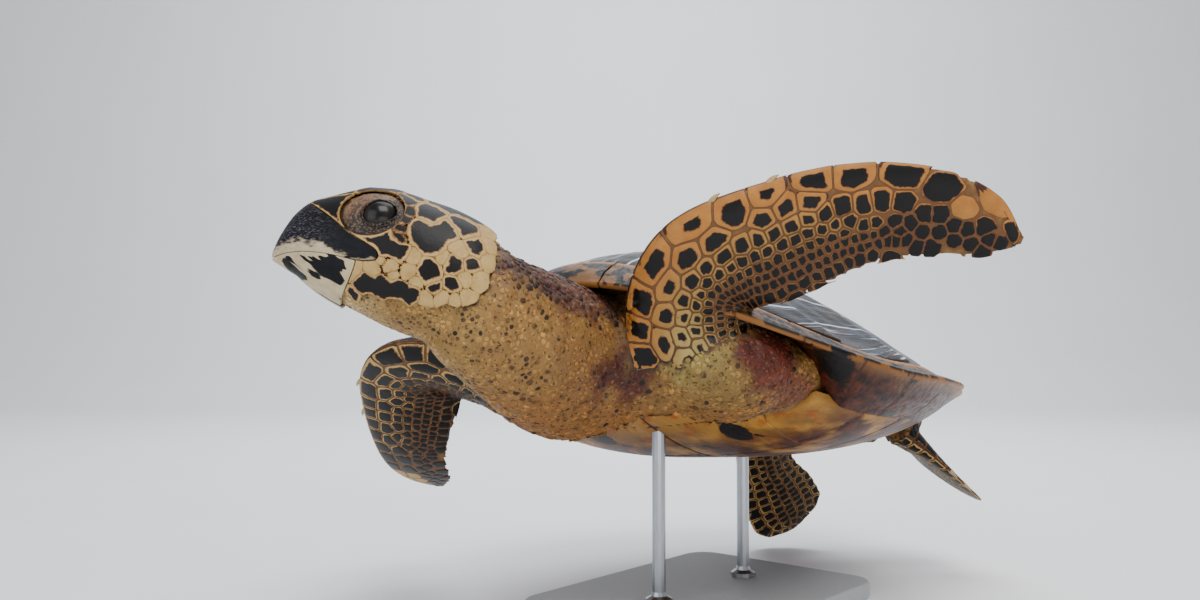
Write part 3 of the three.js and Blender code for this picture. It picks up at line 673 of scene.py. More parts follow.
def with_coarse_inside(mesh):
    """The mesh with fewer faces where the shell hides it."""
    points = read_points(mesh)
    x, y, z = points.T
    depth = np.minimum(dome_height(x, y) - z, z - belly_height(x, y))
    hidden = (share_at(x, y) < 0.74) & (depth > 4)
    form = bpy.data.objects.new("inside", mesh)
    bpy.context.scene.collection.objects.link(form)
    group = form.vertex_groups.new(name="hidden")
    group.add(np.flatnonzero(hidden).tolist(), 1.0, "REPLACE")
    change = form.modifiers.new("inside", "DECIMATE")
    change.vertex_group = "hidden"
    change.ratio = 1 - 0.92 * float(hidden.mean())
    coarse = bpy.data.meshes.new_from_object(form.evaluated_get(bpy.context.evaluated_depsgraph_get()))
    bpy.data.objects.remove(form)
    bpy.data.meshes.remove(mesh)
    return coarse


def under_shell(points, free):
    """Keeps flesh below the dome's plates and above the plastron's; free is 1 where it doesn't apply."""
    x, y, z = points.T
    share = share_at(x, y)
    dome = dome_height(x, y)
    slack = UNDER_PLATES[0] + UNDER_PLATES[1] * share ** 3
    rim = RIM_LIP + 2 + SHELL["rim_plate"] * np.clip((1 - share) / (1 - SHELL["bridge_line"]), 0, 1)
    roof = dome - np.where(share < SHELL["bridge_line"], np.maximum(SHELL["plate"] + slack, rim), rim)
    inner = share < 1
    low_roof = np.where(inner & (z > roof), roof, z)
    belly = belly_height(x, y)
    floor = belly + PLASTRON_THICK + 3
    over_plastron = np.abs(y) < curve(PLASTRON_HALF, x)[:, 0] + 2
    over_bridge = (x > BRIDGE_ENDS[0]) & (x < BRIDGE_ENDS[1]) & (share < 1)
    floored = (over_plastron | over_bridge) & (share < 1) & (x > VERTEBRAL_X[-1] + 6) & (x < 291)
    new = np.where(floored & (low_roof < floor), np.minimum(floor, roof), low_roof)
    out = points.copy()
    out[:, 2] = mix(new, z, free)
    return out


# the eyelids and their opening, from the eyeball's centre, with half sizes, in millimetres
LID = dict(rear=-5, rise=2, half_rear=26, half_rise=22.5, rim=1.6, sunk=2.6)
OPENING = dict(rear=1.5, rise=-0.2, half_rear=13.4, half_rise=10.4)


def eye_frame(side):
    """An eyeball's centre, and its directions out of the head, to the rear and up."""
    centre = in_head(EYE["back"], side * EYE["out"], EYE["up"])
    out = unit(HEAD_LEFT * side + HEAD_UP * 0.22 + FORWARD * 0.1)
    rear = unit(-FORWARD + out * (FORWARD @ out))
    rise = np.cross(out, rear)
    return centre, out, rear, rise * np.sign(rise @ HEAD_UP)


def lid_places(points, side):
    """Each point's height along the eye's axis, its reach from it, and its shares of lid and opening."""
    centre, out, rear, rise = eye_frame(side)
    gap = points - centre
    height, x, y = gap @ out, gap @ rear, gap @ rise
    lid = np.hypot((x - LID["rear"]) / LID["half_rear"], (y - LID["rise"]) / LID["half_rise"])
    slant = y - OPENING["rise"] - 0.16 * (x - OPENING["rear"])
    opening = np.hypot((x - OPENING["rear"]) / OPENING["half_rear"], slant / OPENING["half_rise"])
    return height, np.hypot(x, y), lid, opening


def with_lids(points):
    """Raises folded lids over the eyeballs and opens them."""
    points = points.copy()
    for side in (1, -1):
        centre, out, _, _ = eye_frame(side)
        height, reach, lid, opening = lid_places(points, side)
        near = (height > 0) & (lid < 1)
        share = np.clip((1 - lid) / np.maximum(1 - lid + 0.6 * np.maximum(opening - 1, 0), 1e-6), 0, 1)
        ball = np.sqrt(EYE["radius"] ** 2 - np.minimum(reach, 14.2) ** 2)
        target = mix(height, ball + LID["rim"], share ** 0.85)
        loose = np.zeros(len(points))
        loose[near] = wobble(points[near], 9, 11)
        fold = np.abs(np.sin(math.pi * (4.1 * share ** 1.2 + 0.55 * loose))) ** 0.7 - 0.6
        above = points @ HEAD_UP - centre @ HEAD_UP
        depth = (0.55 + 0.5 * loose) * (1 + 0.5 * ease(0, -12, above))
        target = target + depth * fold * ease(0.02, 0.2, share) * (1 - ease(0.86, 0.97, share))
        target = mix(target, ball - LID["sunk"], 1 - ease(0.9, 1.0, opening))
        points = points + np.where(near, target - height, 0)[:, None] * out
    return points


def lid_share(points):
    """1 on the eyelids and 0 elsewhere."""
    share = np.zeros(len(points))
    for side in (1, -1):
        height, _, lid, _ = lid_places(points, side)
        share = np.maximum(share, np.where(height > 0, 1 - ease(0.9, 1.05, lid), 0))
    return share


def with_wrinkles(mesh, points, blade):
    """Creases the loose skin of the neck, the shoulders and the thighs."""
    write_points(mesh, points)
    normals = read_normals(mesh)
    back, _, _ = head_local(points)
    loose = ease(150, 185, back) * (1 - ease(0, 0.4, blade)) * (share_at(points[:, 0], points[:, 1]) > 0.8)
    chosen = np.flatnonzero(loose > 0)
    along = points[chosen] * [1.5, 0.9, 0.9]
    ridge = 1 - 2.4 * np.abs(wobble(along, 17, 3)) - 0.9 * np.abs(wobble(along, 7, 5, 2))
    out = points.copy()
    out[chosen] += normals[chosen] * (1.5 * loose[chosen] * (ridge - 0.5))[:, None]
    return out


def flesh_mesh():
    """The flesh as one form, with few faces inside the shell and its joins evened out."""
    forms = [lens_loft(), *(ellipsoid(*s) for s in SWELLINGS + POCKETS), neck_loft(), head_loft(-0.4),
             tail_loft(), *(limb.swollen() for limb in limbs.values())]
    mesh = remeshed(*joined(forms), FINE)
    points = smoothed(read_points(mesh), read_edges(mesh), 10)
    write_points(mesh, points)
    mesh = with_coarse_inside(mesh)
    points = read_points(mesh)
    blade = np.zeros(len(points))
    for limb in limbs.values():
        u, w, _ = limb.local(points)
        blade = np.maximum(blade, np.where(np.abs(w) < 90, ease(0.12, 0.3, u), 0))
    back, left, up = head_local(points)
    head = np.where(np.hypot(left, up) < 110, 1 - ease(132, 165, back), 0)
    keep = np.maximum(np.maximum(blade, head), 1 - ease(0, 60, points[:, 0] - 190))
    write_points(mesh, smoothed(points, read_edges(mesh), JOIN_ROUNDS, 0.5, 0.5, keep))
    return mesh


def make_head_finer(mesh):
    """Splits the head's faces once and those round the eyes twice more."""
    back, left, up = head_local(read_points(mesh))
    made_finer(mesh, (back < 168) & (back > -10) & (np.hypot(left, up) < 90))
    for grow in (1.3, 1.12):
        points = read_points(mesh)
        chosen = np.zeros(len(points), bool)
        for side in (1, -1):
            height, _, lid, _ = lid_places(points, side)
            chosen |= (height > 0) & (lid < grow)
        made_finer(mesh, chosen)


def build_skin():
    mesh = flesh_mesh()
    make_head_finer(mesh)
    edges = read_edges(mesh)
    points = smoothed(read_points(mesh), edges, 6)
    write_points(mesh, points)
    blade = np.zeros(len(points))
    for limb in limbs.values():
        u, w, h = limb.local(points)
        lead, trail, _ = limb.widths(u)
        full = limb.depth(u, w)
        mine = (np.abs(h) < np.maximum(limb.depth(u, w, SWOLLEN), 3) + 5) & (w < lead + 7) & (w > -trail - 7)
        share = np.where(mine, ease(0.2, 0.34, u), 0)
        thin = np.maximum(full - SKIN_INSET, 0.45 * full) / np.maximum(limb.depth(u, w, SWOLLEN), 0.5)
        target = limb.point(u, w, h * np.clip(thin, 0.08, 1))
        points = mix(points, target, share[:, None])
        blade = np.maximum(blade, share)
    back, left, up = head_local(points)
    head = np.where(np.hypot(left, up) < 100, 1 - ease(150, 190, back), 0)
    free = np.maximum(blade, head)
    write_points(mesh, points)
    points = points - read_normals(mesh) * (SKIN_INSET * (1 - blade))[:, None]
    points = under_shell(points, free)
    points = smoothed(points, edges, 4, keep=np.maximum(blade, 0.2))
    write_points(mesh, with_lids(with_wrinkles(mesh, points, blade)))
    return mesh


skin_mesh = build_skin()


# ---- plates ----

def resampled(outline, step):
    """The closed outline with points at even steps."""
    outline = np.asarray(outline, float)
    closed = np.vstack([outline, outline[:1]])
    run = np.concatenate([[0], np.cumsum(np.linalg.norm(np.diff(closed, axis=0), axis=1))])
    count = max(8, int(round(run[-1] / step)))
    at = np.linspace(0, run[-1], count, endpoint=False)
    return np.stack([np.interp(at, run, closed[:, k]) for k in range(outline.shape[1])], -1)


def rounded(outline):
    """Cuts the outline's corners."""
    after = np.roll(outline, -1, axis=0)
    pairs = np.stack([outline * 0.75 + after * 0.25, outline * 0.25 + after * 0.75], 1)
    return pairs.reshape(-1, outline.shape[1])


def rim_line(start, end, parts):
    """Points where the scutes' outer edge meets the marginals, on the left."""
    t = np.linspace(start, end, parts + 1)
    return np.stack(margin(t, SHELL["rim_line"]), -1)


RIM_ANGLES = [margin_angle(x, SHELL["rim_line"]) for x in RIM_X]


def vertebral_outline(k):
    halves = []
    if k == 0:
        halves += rim_line(0, RIM_ANGLES[0], 8).tolist()
    else:
        halves += [[VERTEBRAL_X[k], SEAM_HALF[k]], [CORNER_X[k], CORNER_HALF[k]]]
    if k < 4:
        halves += [[VERTEBRAL_X[k + 1], SEAM_HALF[k + 1]]]
    else:
        halves += rim_line(RIM_ANGLES[4], math.pi, 8).tolist()
    halves = np.array(halves)
    other = halves[::-1] * [1, -1]
    return np.vstack([halves, other[np.abs(other[:, 1]) > 0.01]])


def costal_outline(k, side):
    start = [] if k == 0 else [[CORNER_X[k], CORNER_HALF[k]]]
    inner = [[VERTEBRAL_X[k + 1], SEAM_HALF[k + 1]], [CORNER_X[k + 1], CORNER_HALF[k + 1]]]
    outer = rim_line(RIM_ANGLES[k + 1], RIM_ANGLES[k], 10).tolist()
    return np.array(start + inner + outer) * [1, side]


def polar_plate(outline, centre, top, bottom, rings=14, bevel=1.2, step=4.5):
    """A plate over a plan outline: rings run from the edge's foot over the top to the centre."""
    outline = resampled(outline, step)
    reach = np.linalg.norm(outline - centre, axis=1, keepdims=True)
    way = (outline - centre) / reach
    layers = []

    def layer(keep, inset, height, offset):
        plan = centre + way * np.maximum(reach * keep - inset, 0)
        z = height(plan[:, 0], plan[:, 1]) + offset
        layers.append(np.column_stack([plan, z]))

    for keep in (0.25, 0.6, 1.0):
        layer(keep, 0, bottom, 0)
    layer(1.0, 0.0, top, -bevel)
    layer(1.0, 0.35 * bevel, top, -0.3 * bevel)
    layer(1.0, bevel, top, 0)
    for keep in np.linspace(1, 0, rings + 1)[1:-1]:
        layer(keep, bevel * keep, top, 0)
    points, faces = loft(layers)
    x, y = centre[:1], centre[1:]
    points[-2] = [*centre, float(bottom(x, y)[0])]
    points[-1] = [*centre, float(top(x, y)[0])]
    return points, faces, outline


def edge_distance(points, outline):
    """Distance in plan from points to the closed outline."""
    a, b = outline, np.roll(outline, -1, axis=0)
    best = np.full(len(points), 1e9)
    for start, end in zip(a, b):
        way = end - start
        t = np.clip(((points - start) @ way) / (way @ way), 0, 1)
        best = np.minimum(best, np.linalg.norm(points - start - t[:, None] * way, axis=1))
    return best


def grain(points, source, number):
    """Streak coordinates that fan out from a point behind the scute: turn with own number, reach."""
    gap = points[:, :2] - source
    reach = np.linalg.norm(gap, axis=1)
    turn = np.arctan2(gap[:, 1], gap[:, 0])
    return np.stack([np.sin(turn), np.cos(turn), np.full(len(points), number * 7.31)], -1), reach


def add_scute(name, outline, source, number, paint):
    xs = outline[:, 0]
    rear, front = xs.min(), xs.max()

    def top(x, y):
        lift = SHELL["lap"] * np.clip((front - x) / (front - rear), 0, 1) ** 1.5
        return dome_height(x, y) + lift

    def bottom(x, y):
        return dome_height(x, y) - SHELL["plate"]

    centre = outline.mean(axis=0)
    points, faces, edge = polar_plate(outline, centre, top, bottom)
    fan, reach = grain(points, np.array(source, float), number)
    away = edge_distance(points[:, :2], edge)
    growth = 0.35 * np.sin(away / 5.5) * ease(1, 6, away) * ease(0, 30, reach)
    upper = np.arange(len(points)) >= 3 * len(edge)
    points[upper, 2] += growth[upper]
    solid_piece(name, [(points, faces)], paint, [name],
                dict(fan=fan, reach=reach, away=away), smooth_angle=50)


def carapace_paint():
    p = Paint("carapace", 0.36, Specular_IOR_Level=0.1)
    fan, reach, away = p.vector("fan"), p.attribute("reach"), p.attribute("away")
    spread = p.node("VectorMath", {0: fan, 1: [18, 18, 1]}, operation="MULTIPLY").outputs[0]
    along = p.combined(p.times(reach, 0.0075))
    ray = p.node("VectorMath", {0: spread, 1: along}, operation="ADD").outputs[0]
    broad, thin = p.texture(ray, 1.0, 4), p.texture(ray, 3.7, 5)
    patch = p.noise(60, 2)
    # broad streaks from black to blue-grey: the streaks are the shell's own, their blue-grey is a painted
    # sheen
    base = p.blend(p.step(broad, 0.44, 0.64), "050608", "3a4350")
    base = p.blend(p.times(p.step(patch, 0.46, 0.62), 0.65), base, "4a2c13")
    # pale thin streaks: painted highlights
    base = p.blend(p.step(thin, 0.57, 0.65, 0, 0.95), base, "c3cad4")
    base = p.blend(p.step(thin, 0.50, 0.44), base, "030304")
    base = p.blend(p.step(away, 2.2, 0.3), base, "2b211b")
    relief = p.bump(thin, 0.9, p.bump(p.noise(1.2, 4), 0.12))
    return p.finish(base, p.step(thin, 0.3, 0.8, 0.25, 0.5), relief)


carapace = carapace_paint()
for k in range(5):
    outline = vertebral_outline(k)
    rear = outline[:, 0].min()
    add_scute(f"vertebral_{k + 1}", outline, [rear - 110, 0], k, carapace)
for side_name, side in (("left", 1), ("right", -1)):
    for k in range(4):
        outline = costal_outline(k, side)
        source = [CORNER_X[k + 1] - 190, side * (CORNER_HALF[k + 1] + 55)]
        add_scute(f"costal_{side_name}_{k + 1}", outline, source, 10 + 5 * k + side, carapace)


# ---- marginals and nuchal ----

RIM_PER_SCUTE = 22
RIM_MARK = [176, 214]                 # a black patch on the marginals behind the shoulder


def rim_sections(t, side, along):
    """Sections of the marginals, from the inner top over the edge to the underside, and their values."""
    t, side, along = (np.asarray(v, float)[:, None] for v in (t, side, along))
    edge_x = margin(t, 1, side)[0]
    edge_z = margin_height(edge_x)
    opened = openness(edge_x)
    part = along % 1
    tooth = ease(0, 0.9, part) * (1 - ease(-230, 60, edge_x)) * SHELL["tooth"] / 300
    seam = 1 - ease(0, 0.05, part) * (1 - ease(0.97, 1.0, part))
    edge = 1 + tooth * (1 - 0.6 * ease(0.93, 1, part))
    points, values = [], []

    def put(share, z, under):
        share = share + 0 * t
        x, y = margin(t, share, side)
        points.append(np.concatenate([x, y, z + 0 * t], 1))
        values.append(np.concatenate([share, under + 0 * t, along, seam], 1))

    def over(share):
        return dome_height(*margin(t, share, side)) + SHELL["lap"] / 2

    def under(share):
        thin = dome_height(*margin(t, share, side)) - RIM_LIP - SHELL["rim_plate"] * (1 - share) / (
            1 - SHELL["bridge_line"])
        return mix(belly_height(*margin(t, share, side)), thin, opened)

    first, middle = SHELL["rim_line"], 0.94
    for s in np.linspace(0, 1, 6):
        share = mix(first, middle, s)
        put(share, over(share) - 1.1 * seam - (1.6 if s == 0 else 0), 0)
    over_middle, under_middle = over(middle), under(0.93)
    for s in np.linspace(0, 1, 8)[1:]:
        z = mix(over_middle, edge_z + RIM_LIP, s ** 1.25) - 0.9 * seam * (1 - s * 0.5)
        put(mix(middle, edge, s), z, 0)
    for a in (0.3, 0.5, 0.7):
        put(edge + 0.006 * math.sin(math.pi * a), edge_z + RIM_LIP * math.cos(math.pi * a), a)
    for s in np.linspace(0, 1, 7):
        put(mix(edge, 0.93, s), mix(edge_z - RIM_LIP, under_middle, s ** 1.1) + 0.7 * seam, 1)
    for s in np.linspace(0, 1, 7)[1:]:
        share = mix(0.93, SHELL["bridge_line"], s)
        put(share, under(share) + 0.7 * seam, 1)
    seat = np.minimum(dome_height(*margin(t, first, side)) - SHELL["plate"] - 2, under(first))
    put(first, seat, 1)
    return np.stack(points, 1), np.stack(values, 1)


def add_rim(name, angles, alongs, sides, number, paint):
    rings, values = rim_sections(angles, sides, alongs)
    points, faces = loft(rings)
    values = values.reshape(-1, 4)
    values = np.vstack([values, values[:1], values[-1:]])
    share, under, along, seam = values.T
    ids = np.floor(along) + number
    mark = np.hypot((points[:, 0] - RIM_MARK[0]) / 21, (np.abs(points[:, 1]) - RIM_MARK[1]) / 17)
    facts = dict(mark=mark, share=share, under=under, part=along % 1, number=ids, seam=seam)
    solid_piece(name, [(points, faces)], paint, [name], facts, smooth_angle=50)


def rim_paint():
    p = Paint("rim", 0.46, Specular_IOR_Level=0.22)
    share, under, part = p.attribute("share"), p.attribute("under"), p.attribute("part")
    number, seam = p.attribute("number"), p.attribute("seam")
    own = p.combined(p.times(part, 3.2), p.times(share, 11), p.times(number, 3.77))
    blotch, streak = p.texture(own, 1.3, 4), p.texture(own, 5.0, 5)
    amber = p.blend(p.noise(22, 4), "432611", "825a2a")
    amber = p.blend(p.step(share, 0.985, 1.03), amber, "8f5822")
    top = p.blend(p.step(p.maths("MULTIPLY_ADD", streak, 0.3, blotch), 0.60, 0.66), amber, "0b0807")
    top = p.blend(p.step(share, 0.905, 0.885, 0, 0.85), top, "a06a30")
    stain = p.blend(p.step(p.noise(9, 5), 0.35, 0.65), "1c0703", "4a1d0b")
    below = p.blend(p.step(p.noise(45, 3), 0.28, 0.42), amber, stain)
    below = p.blend(p.step(share, 0.96, 1.01), below, amber)
    below = p.blend(p.step(blotch, 0.64, 0.68), below, "0f0908")
    torn = p.maths("MULTIPLY_ADD", p.noise(7, 3), 0.7, p.attribute("mark"))
    base = p.blend(p.step(under, 0.3, 0.7), top, below)
    base = p.blend(p.step(torn, 1.45, 1.25), base, "060404")
    base = p.blend(p.times(p.step(seam, 0.35, 0.95), 0.75), base, "2a1a12")
    relief = p.bump(streak, 0.35, p.bump(p.noise(1.5, 4), 0.15))
    return p.finish(base, p.step(streak, 0.3, 0.7, 0.3, 0.5), relief)


rim_finish = rim_paint()
STEPS = MARGINAL_COUNT * RIM_PER_SCUTE
for side_name, side in (("left", 1), ("right", -1)):
    alongs = np.linspace(0, MARGINAL_COUNT, STEPS + 1)
    angles = mix(MARGINAL_START, math.pi, alongs / MARGINAL_COUNT)
    angles[0] += 0.002
    angles[-1] -= 0.004
    alongs[-1] -= 1e-4
    add_rim(f"marginals_{side_name}", angles, alongs, [side] * (STEPS + 1), 20 * side + 40, rim_finish)
turns = np.linspace(-1, 1, 25) * MARGINAL_START
turns[0] += 0.002
turns[-1] -= 0.002
add_rim("nuchal", np.abs(turns), 0.06 + 0.9 * (turns / MARGINAL_START + 1) / 2,
        np.where(turns < 0, -1, 1), 0, rim_finish)


# ---- plastron and bridges ----

PLASTRON_SEAMS = [252, 176, 84, -22, -136, -222]
BRIDGE_SEAMS = [96, 22, -54, -122]
GULAR_MARK = [147, 88]               # a dark patch on the plastron's front plates


def seam_distance(x, y, seams, middle):
    """Distance to the nearest seam across the belly, or to the one along its middle."""
    bent = x + 10 * (1 - np.abs(y) / 120)
    lines = np.min([np.abs(bent - s) for s in seams], axis=0)
    return np.minimum(lines, np.abs(y)) if middle else lines


def add_belly(name, outline, seams, middle, paint):
    def bottom(x, y):
        groove = 1.3 * (1 - ease(0, 3.0, seam_distance(x, y, seams, middle)))
        return belly_height(x, y) + groove

    def top(x, y):
        return belly_height(x, y) + PLASTRON_THICK

    outline = resampled(outline, 3.5)
    centre = outline.mean(axis=0)
    reach = outline - centre
    layers = []
    for keep in (0.3, 0.7, 1.0):
        plan = centre + reach * keep
        layers.append(np.column_stack([plan, top(*plan.T)]))
    for keep, offset in ((1.0, 1.5), (0.993, 0.4)):
        plan = centre + reach * keep
        layers.append(np.column_stack([plan, bottom(*plan.T) + offset]))
    for keep in np.linspace(0.985, 0.02, 44):
        plan = centre + reach * keep
        layers.append(np.column_stack([plan, bottom(*plan.T)]))
    points, faces = loft(layers)
    seam = seam_distance(points[:, 0], points[:, 1], seams, middle)
    spot = np.hypot((points[:, 0] - GULAR_MARK[0]) / 22, (np.abs(points[:, 1]) - GULAR_MARK[1]) / 16)
    solid_piece(name, [(points, faces)], paint, [name],
                dict(seam=seam, gular=spot, plan=points / 100), smooth_angle=60)


def belly_paint():
    p = Paint("plastron", 0.44, Specular_IOR_Level=0.25)
    seam, plan = p.attribute("seam"), p.vector("plan")
    along = p.node("SeparateXYZ", {0: plan}).outputs
    cream = p.blend(p.noise(30, 4), "8a5a1c", "b98b38")
    cream = p.blend(p.step(p.noise(18, 3), 0.5, 0.66), cream, "9c5716")
    rear = p.step(along[0], 2.0, 0.9)
    stain = p.blend(p.step(p.noise(11, 5), 0.35, 0.65), "210904", "51220d")
    base = p.blend(p.times(p.step(p.noise(40, 4), 0.3, 0.55), rear), cream, stain)
    base = p.blend(p.step(p.noise(26, 3), 0.65, 0.68), base, "120c08")
    torn = p.maths("MULTIPLY_ADD", p.noise(8, 3), 0.5, p.attribute("gular"))
    base = p.blend(p.step(torn, 1.3, 1.15), base, "0c0807")
    base = p.blend(p.step(seam, 2.2, 0.6), base, "2a130a")
    relief = p.bump(p.noise(5, 4), 0.5, p.bump(p.noise(1.2, 3), 0.15))
    return p.finish(base, None, relief)


belly_finish = belly_paint()
half = np.array(PLASTRON_HALF, float)
xs = np.linspace(-262, 292, 70)
left_edge = np.column_stack([xs, curve(half, xs)[:, 0]])
add_belly("plastron", np.vstack([left_edge, left_edge[::-1] * [1, -1]]), PLASTRON_SEAMS, True,
          belly_finish)
for side_name, side in (("left", 1), ("right", -1)):
    xs = np.linspace(*BRIDGE_ENDS, 40)
    inner = np.column_stack([xs, side * (curve(half, xs)[:, 0] + 0.6)])
    outer = np.array([margin(margin_angle(x, SHELL["bridge_line"]), SHELL["bridge_line"], side) for x in xs])
    outer = mix(outer, inner, 0.004)
    add_belly(f"bridge_{side_name}", np.vstack([inner, outer[::-1]]), BRIDGE_SEAMS, False,
              belly_finish)


# ---- closed shells over a surface ----

def thickened(top, bottom, quads):
    """Closed solid between two layers of points that share their quads."""
    count = len(top)
    edges = np.stack([quads, np.roll(quads, -1, axis=1)], -1).reshape(-1, 2)
    low, high = np.sort(edges, axis=1).T
    _, first, times = np.unique(low * np.int64(count) + high, return_index=True, return_counts=True)
    a, b = edges[first[times == 1]].T
    walls = np.stack([b, a, a + count, b + count], -1)
    return np.vstack([top, bottom]), [np.vstack([quads, quads[:, ::-1] + count, walls])]


def trimmed(rows, columns, field):
    """Quads of a grid where the field is above 0, with the grid's outer points drawn onto its edge."""
    inside = field > 0
    r, c, value = rows.copy(), columns.copy(), field.copy()
    best = np.zeros(field.shape)
    known = inside.copy()
    padded = [np.pad(v, 1, constant_values=fill) for v, fill in
              ((field, -1e3), (rows, 0.0), (columns, 0.0), (inside, False))]
    n, m = field.shape
    for i in (-1, 0, 1):
        for k in (-1, 0, 1):
            f, rr, cc, there = (v[1 + i:1 + i + n, 1 + k:1 + k + m] for v in padded)
            better = ~inside & there & (f > best)
            t = f / np.maximum(f - field, 1e-9)
            r = np.where(better, rr + (rows - rr) * t, r)
            c = np.where(better, cc + (columns - cc) * t, c)
            best = np.where(better, f, best)
            value = np.where(better, 0, value)
            known |= better
    whole = known[:-1, :-1] & known[1:, :-1] & known[1:, 1:] & known[:-1, 1:]
    index = np.arange(n * m).reshape(n, m)
    quads = np.stack([index[:-1, :-1], index[1:, :-1], index[1:, 1:], index[:-1, 1:]], -1)[whole]
    touching = inside.ravel()[quads].any(axis=1)
    quads = quads[touching]
    used, quads = np.unique(quads, return_inverse=True)
    return r.ravel()[used], c.ravel()[used], value.ravel()[used], quads.reshape(-1, 4)


class Coat:
    """Many small closed plates of one piece, with their values and their places on the skin's unwrap."""

    def __init__(self):
        self.parts, self.values, self.uvs = [], {}, []

    def add(self, points, faces, uv, **values):
        self.parts.append((points, faces))
        self.uvs.append(uv)
        for name, numbers in values.items():
            if not np.ndim(numbers):
                numbers = np.full(len(points), float(numbers))
            self.values.setdefault(name, []).append(np.asarray(numbers, float))

    def build(self, name, paint, slot):
        points, faces = joined(self.parts)
        mesh = mesh_of(name, placed(points), faces)
        paint_values(mesh, **{key: np.concatenate(v) for key, v in self.values.items()})
        face_out(mesh)
        corner = np.empty(len(mesh.loops), np.int32)
        mesh.loops.foreach_get("vertex_index", corner)
        layer = mesh.uv_layers.new(name="OFBake")
        layer.data.foreach_set("uv", np.vstack(self.uvs)[corner].astype(np.float32).ravel())
        return add_piece(name, mesh, paint, smooth_angle=55)


# ---- scales of the limbs ----

def clipped(outline, middle, axis):
    """The part of a convex outline on the near side of a line."""
    side = (outline - middle) @ axis
    out = []
    for k in range(len(outline)):
        a, b, da, db = outline[k - 1], outline[k], side[k - 1], side[k]
        if (da <= 0) != (db <= 0):
            out.append(a + (b - a) * (da / (da - db)))
        if db <= 0:
            out.append(b)
    return np.array(out)


def ground_of(seed, others, reach):
    """The corners of the ground that is nearer to a seed than to the others."""
    turn = 2 * math.pi * (np.arange(8) + 0.5) / 8
    outline = seed + reach * np.stack([np.cos(turn), np.sin(turn)], -1)
    for other in others:
        outline = clipped(outline, (seed + other) / 2, other - seed)
        if len(outline) < 3:
            return None
    return outline


# rows of scales from the leading edge to the trailing edge: share of the width, spacing,
# width of the pale border on the underside, share of the scales with a dark middle
FORE_ROWS = [(0.09, 33, 7.2, 1), (0.26, 20, 3.9, 1), (0.40, 15, 2.7, 1), (0.51, 12, 2.1, 1),
             (0.61, 9.5, 1.5, 1), (0.70, 8.2, 1.1, 1), (0.79, 8.2, 1.0, 1), (0.88, 11, 1.3, 1),
             (0.975, 23, 2.4, 1)]
HIND_ROWS = [(0.09, 15, 2.2, 1), (0.27, 12, 1.8, 1), (0.42, 10, 1.4, 1), (0.56, 9, 1.2, 1),
             (0.70, 9, 1.2, 1), (0.84, 11, 1.6, 1), (0.97, 15, 2.2, 1)]
FORE_FIRST, HIND_FIRST = 0.15, 0.16   # where the large scales start along a limb
# per limb: width of the pale borders and of the leading scales against the rows' own,
# and how amber the leading edge is
PALE_SHARE = dict(front_left=1.0, front_right=0.5, rear_left=0.8, rear_right=1.0)
LEAD_SPACING = dict(front_left=1.0, front_right=0.6, rear_left=1.0, rear_right=1.0)
WARMTH = dict(front_left=1.0, front_right=0.1, rear_left=0.15, rear_right=0.25)


def limb_seeds(limb, rows, first):
    """Places (along, across) of the scales in millimetres, with spacing, border and darkness."""
    found = []
    fore = limb.shape is FORE_SHAPE
    for k, (share, spacing, border, dark) in enumerate(rows):
        place = first * limb.length + 0.5 * (k % 2) * spacing
        while place < 0.985 * limb.length:
            grown = ease(0.15, 0.42, place / limb.length) if fore and k == 0 else 1
            size = spacing * float(mix(0.5, 1, grown)) * (LEAD_SPACING[limb.name] if k == 0 else 1)
            s = place + rng.uniform(-0.16, 0.16) * size
            place += size
            lead, trail, _ = (float(v[0]) for v in limb.widths(np.array([s / limb.length])))
            w = lead - share * (lead + trail) + rng.uniform(-0.1, 0.1) * size
            kept = rng.uniform() < dark
            room = 0.33 + 0.16 * float(ease(0.5, 0.85, s / limb.length)) * fore
            if all(math.hypot(s - o[0], w - o[1]) > room * (size + o[2]) for o in found):
                pale = (1 - float(ease(0.12, 0.34, s / limb.length))) * (limb.name == "front_left" and k > 0)
                wide = border * size / spacing * PALE_SHARE[limb.name] * (1 + 0.8 * pale)
                found.append([s, w, size, wide * rng.uniform(0.7, 1.3), kept])
    return np.array(found)


def lay(limb, face, s, w, height):
    """Points on the skin of a limb's face, raised by a height."""
    u = np.clip(s / limb.length, 0, 1)
    P, _, L, N, _ = limb.at(u)
    depth = limb.depth(u, w)
    base = P + L * w[:, None]
    out = N * face
    start = base + out * (depth + 12)[:, None]
    skin_depth = np.maximum(depth - SKIN_INSET, 0.45 * depth)
    ends = base + out * skin_depth[:, None]
    ways = out.copy()
    for i in np.flatnonzero(u < 0.4):
        hit, normal, _, _ = skin_tree.ray_cast(Vector(start[i]), Vector(-out[i]), 50)
        if hit is not None:
            share = float(ease(0.3, 0.4, u[i]))
            ends[i] = mix(np.array(hit), ends[i], share)
            ways[i] = out[i] + 0.8 * (1 - share) * np.array(normal)
    return ends + unit(ways) * np.asarray(height)[:, None]


# rings of a scale, from its foot to its crown: share of the way in, height
PLATE_RINGS = [(0.0, -0.8), (0.0, 0.1), (0.1, 0.48), (0.32, 0.62), (0.62, 0.7)]


def plate_ground(limb, rows, first, places, i, spacing):
    """A scale's outline along and across the limb, kept between its edges; None if no room is left."""
    order = np.argsort(((places - places[i]) ** 2).sum(axis=1))[1:17]
    ground = ground_of(places[i], places[order], 0.95 * spacing)
    if ground is None:
        return None
    ground = rounded(resampled(ground, max(1.6, spacing / 7)))
    ground[:, 0] = np.clip(ground[:, 0], (first - 0.03) * limb.length, 0.993 * limb.length)
    lead, trail, _ = limb.widths(ground[:, 0] / limb.length)
    scallop = 0.4 + 1.1 * np.abs(np.sin(math.pi * ground[:, 0] / rows[-1][1]))
    ground[:, 1] = np.clip(ground[:, 1], -trail - scallop, lead + 0.1)
    return resampled(ground, max(1.5, spacing / 8))


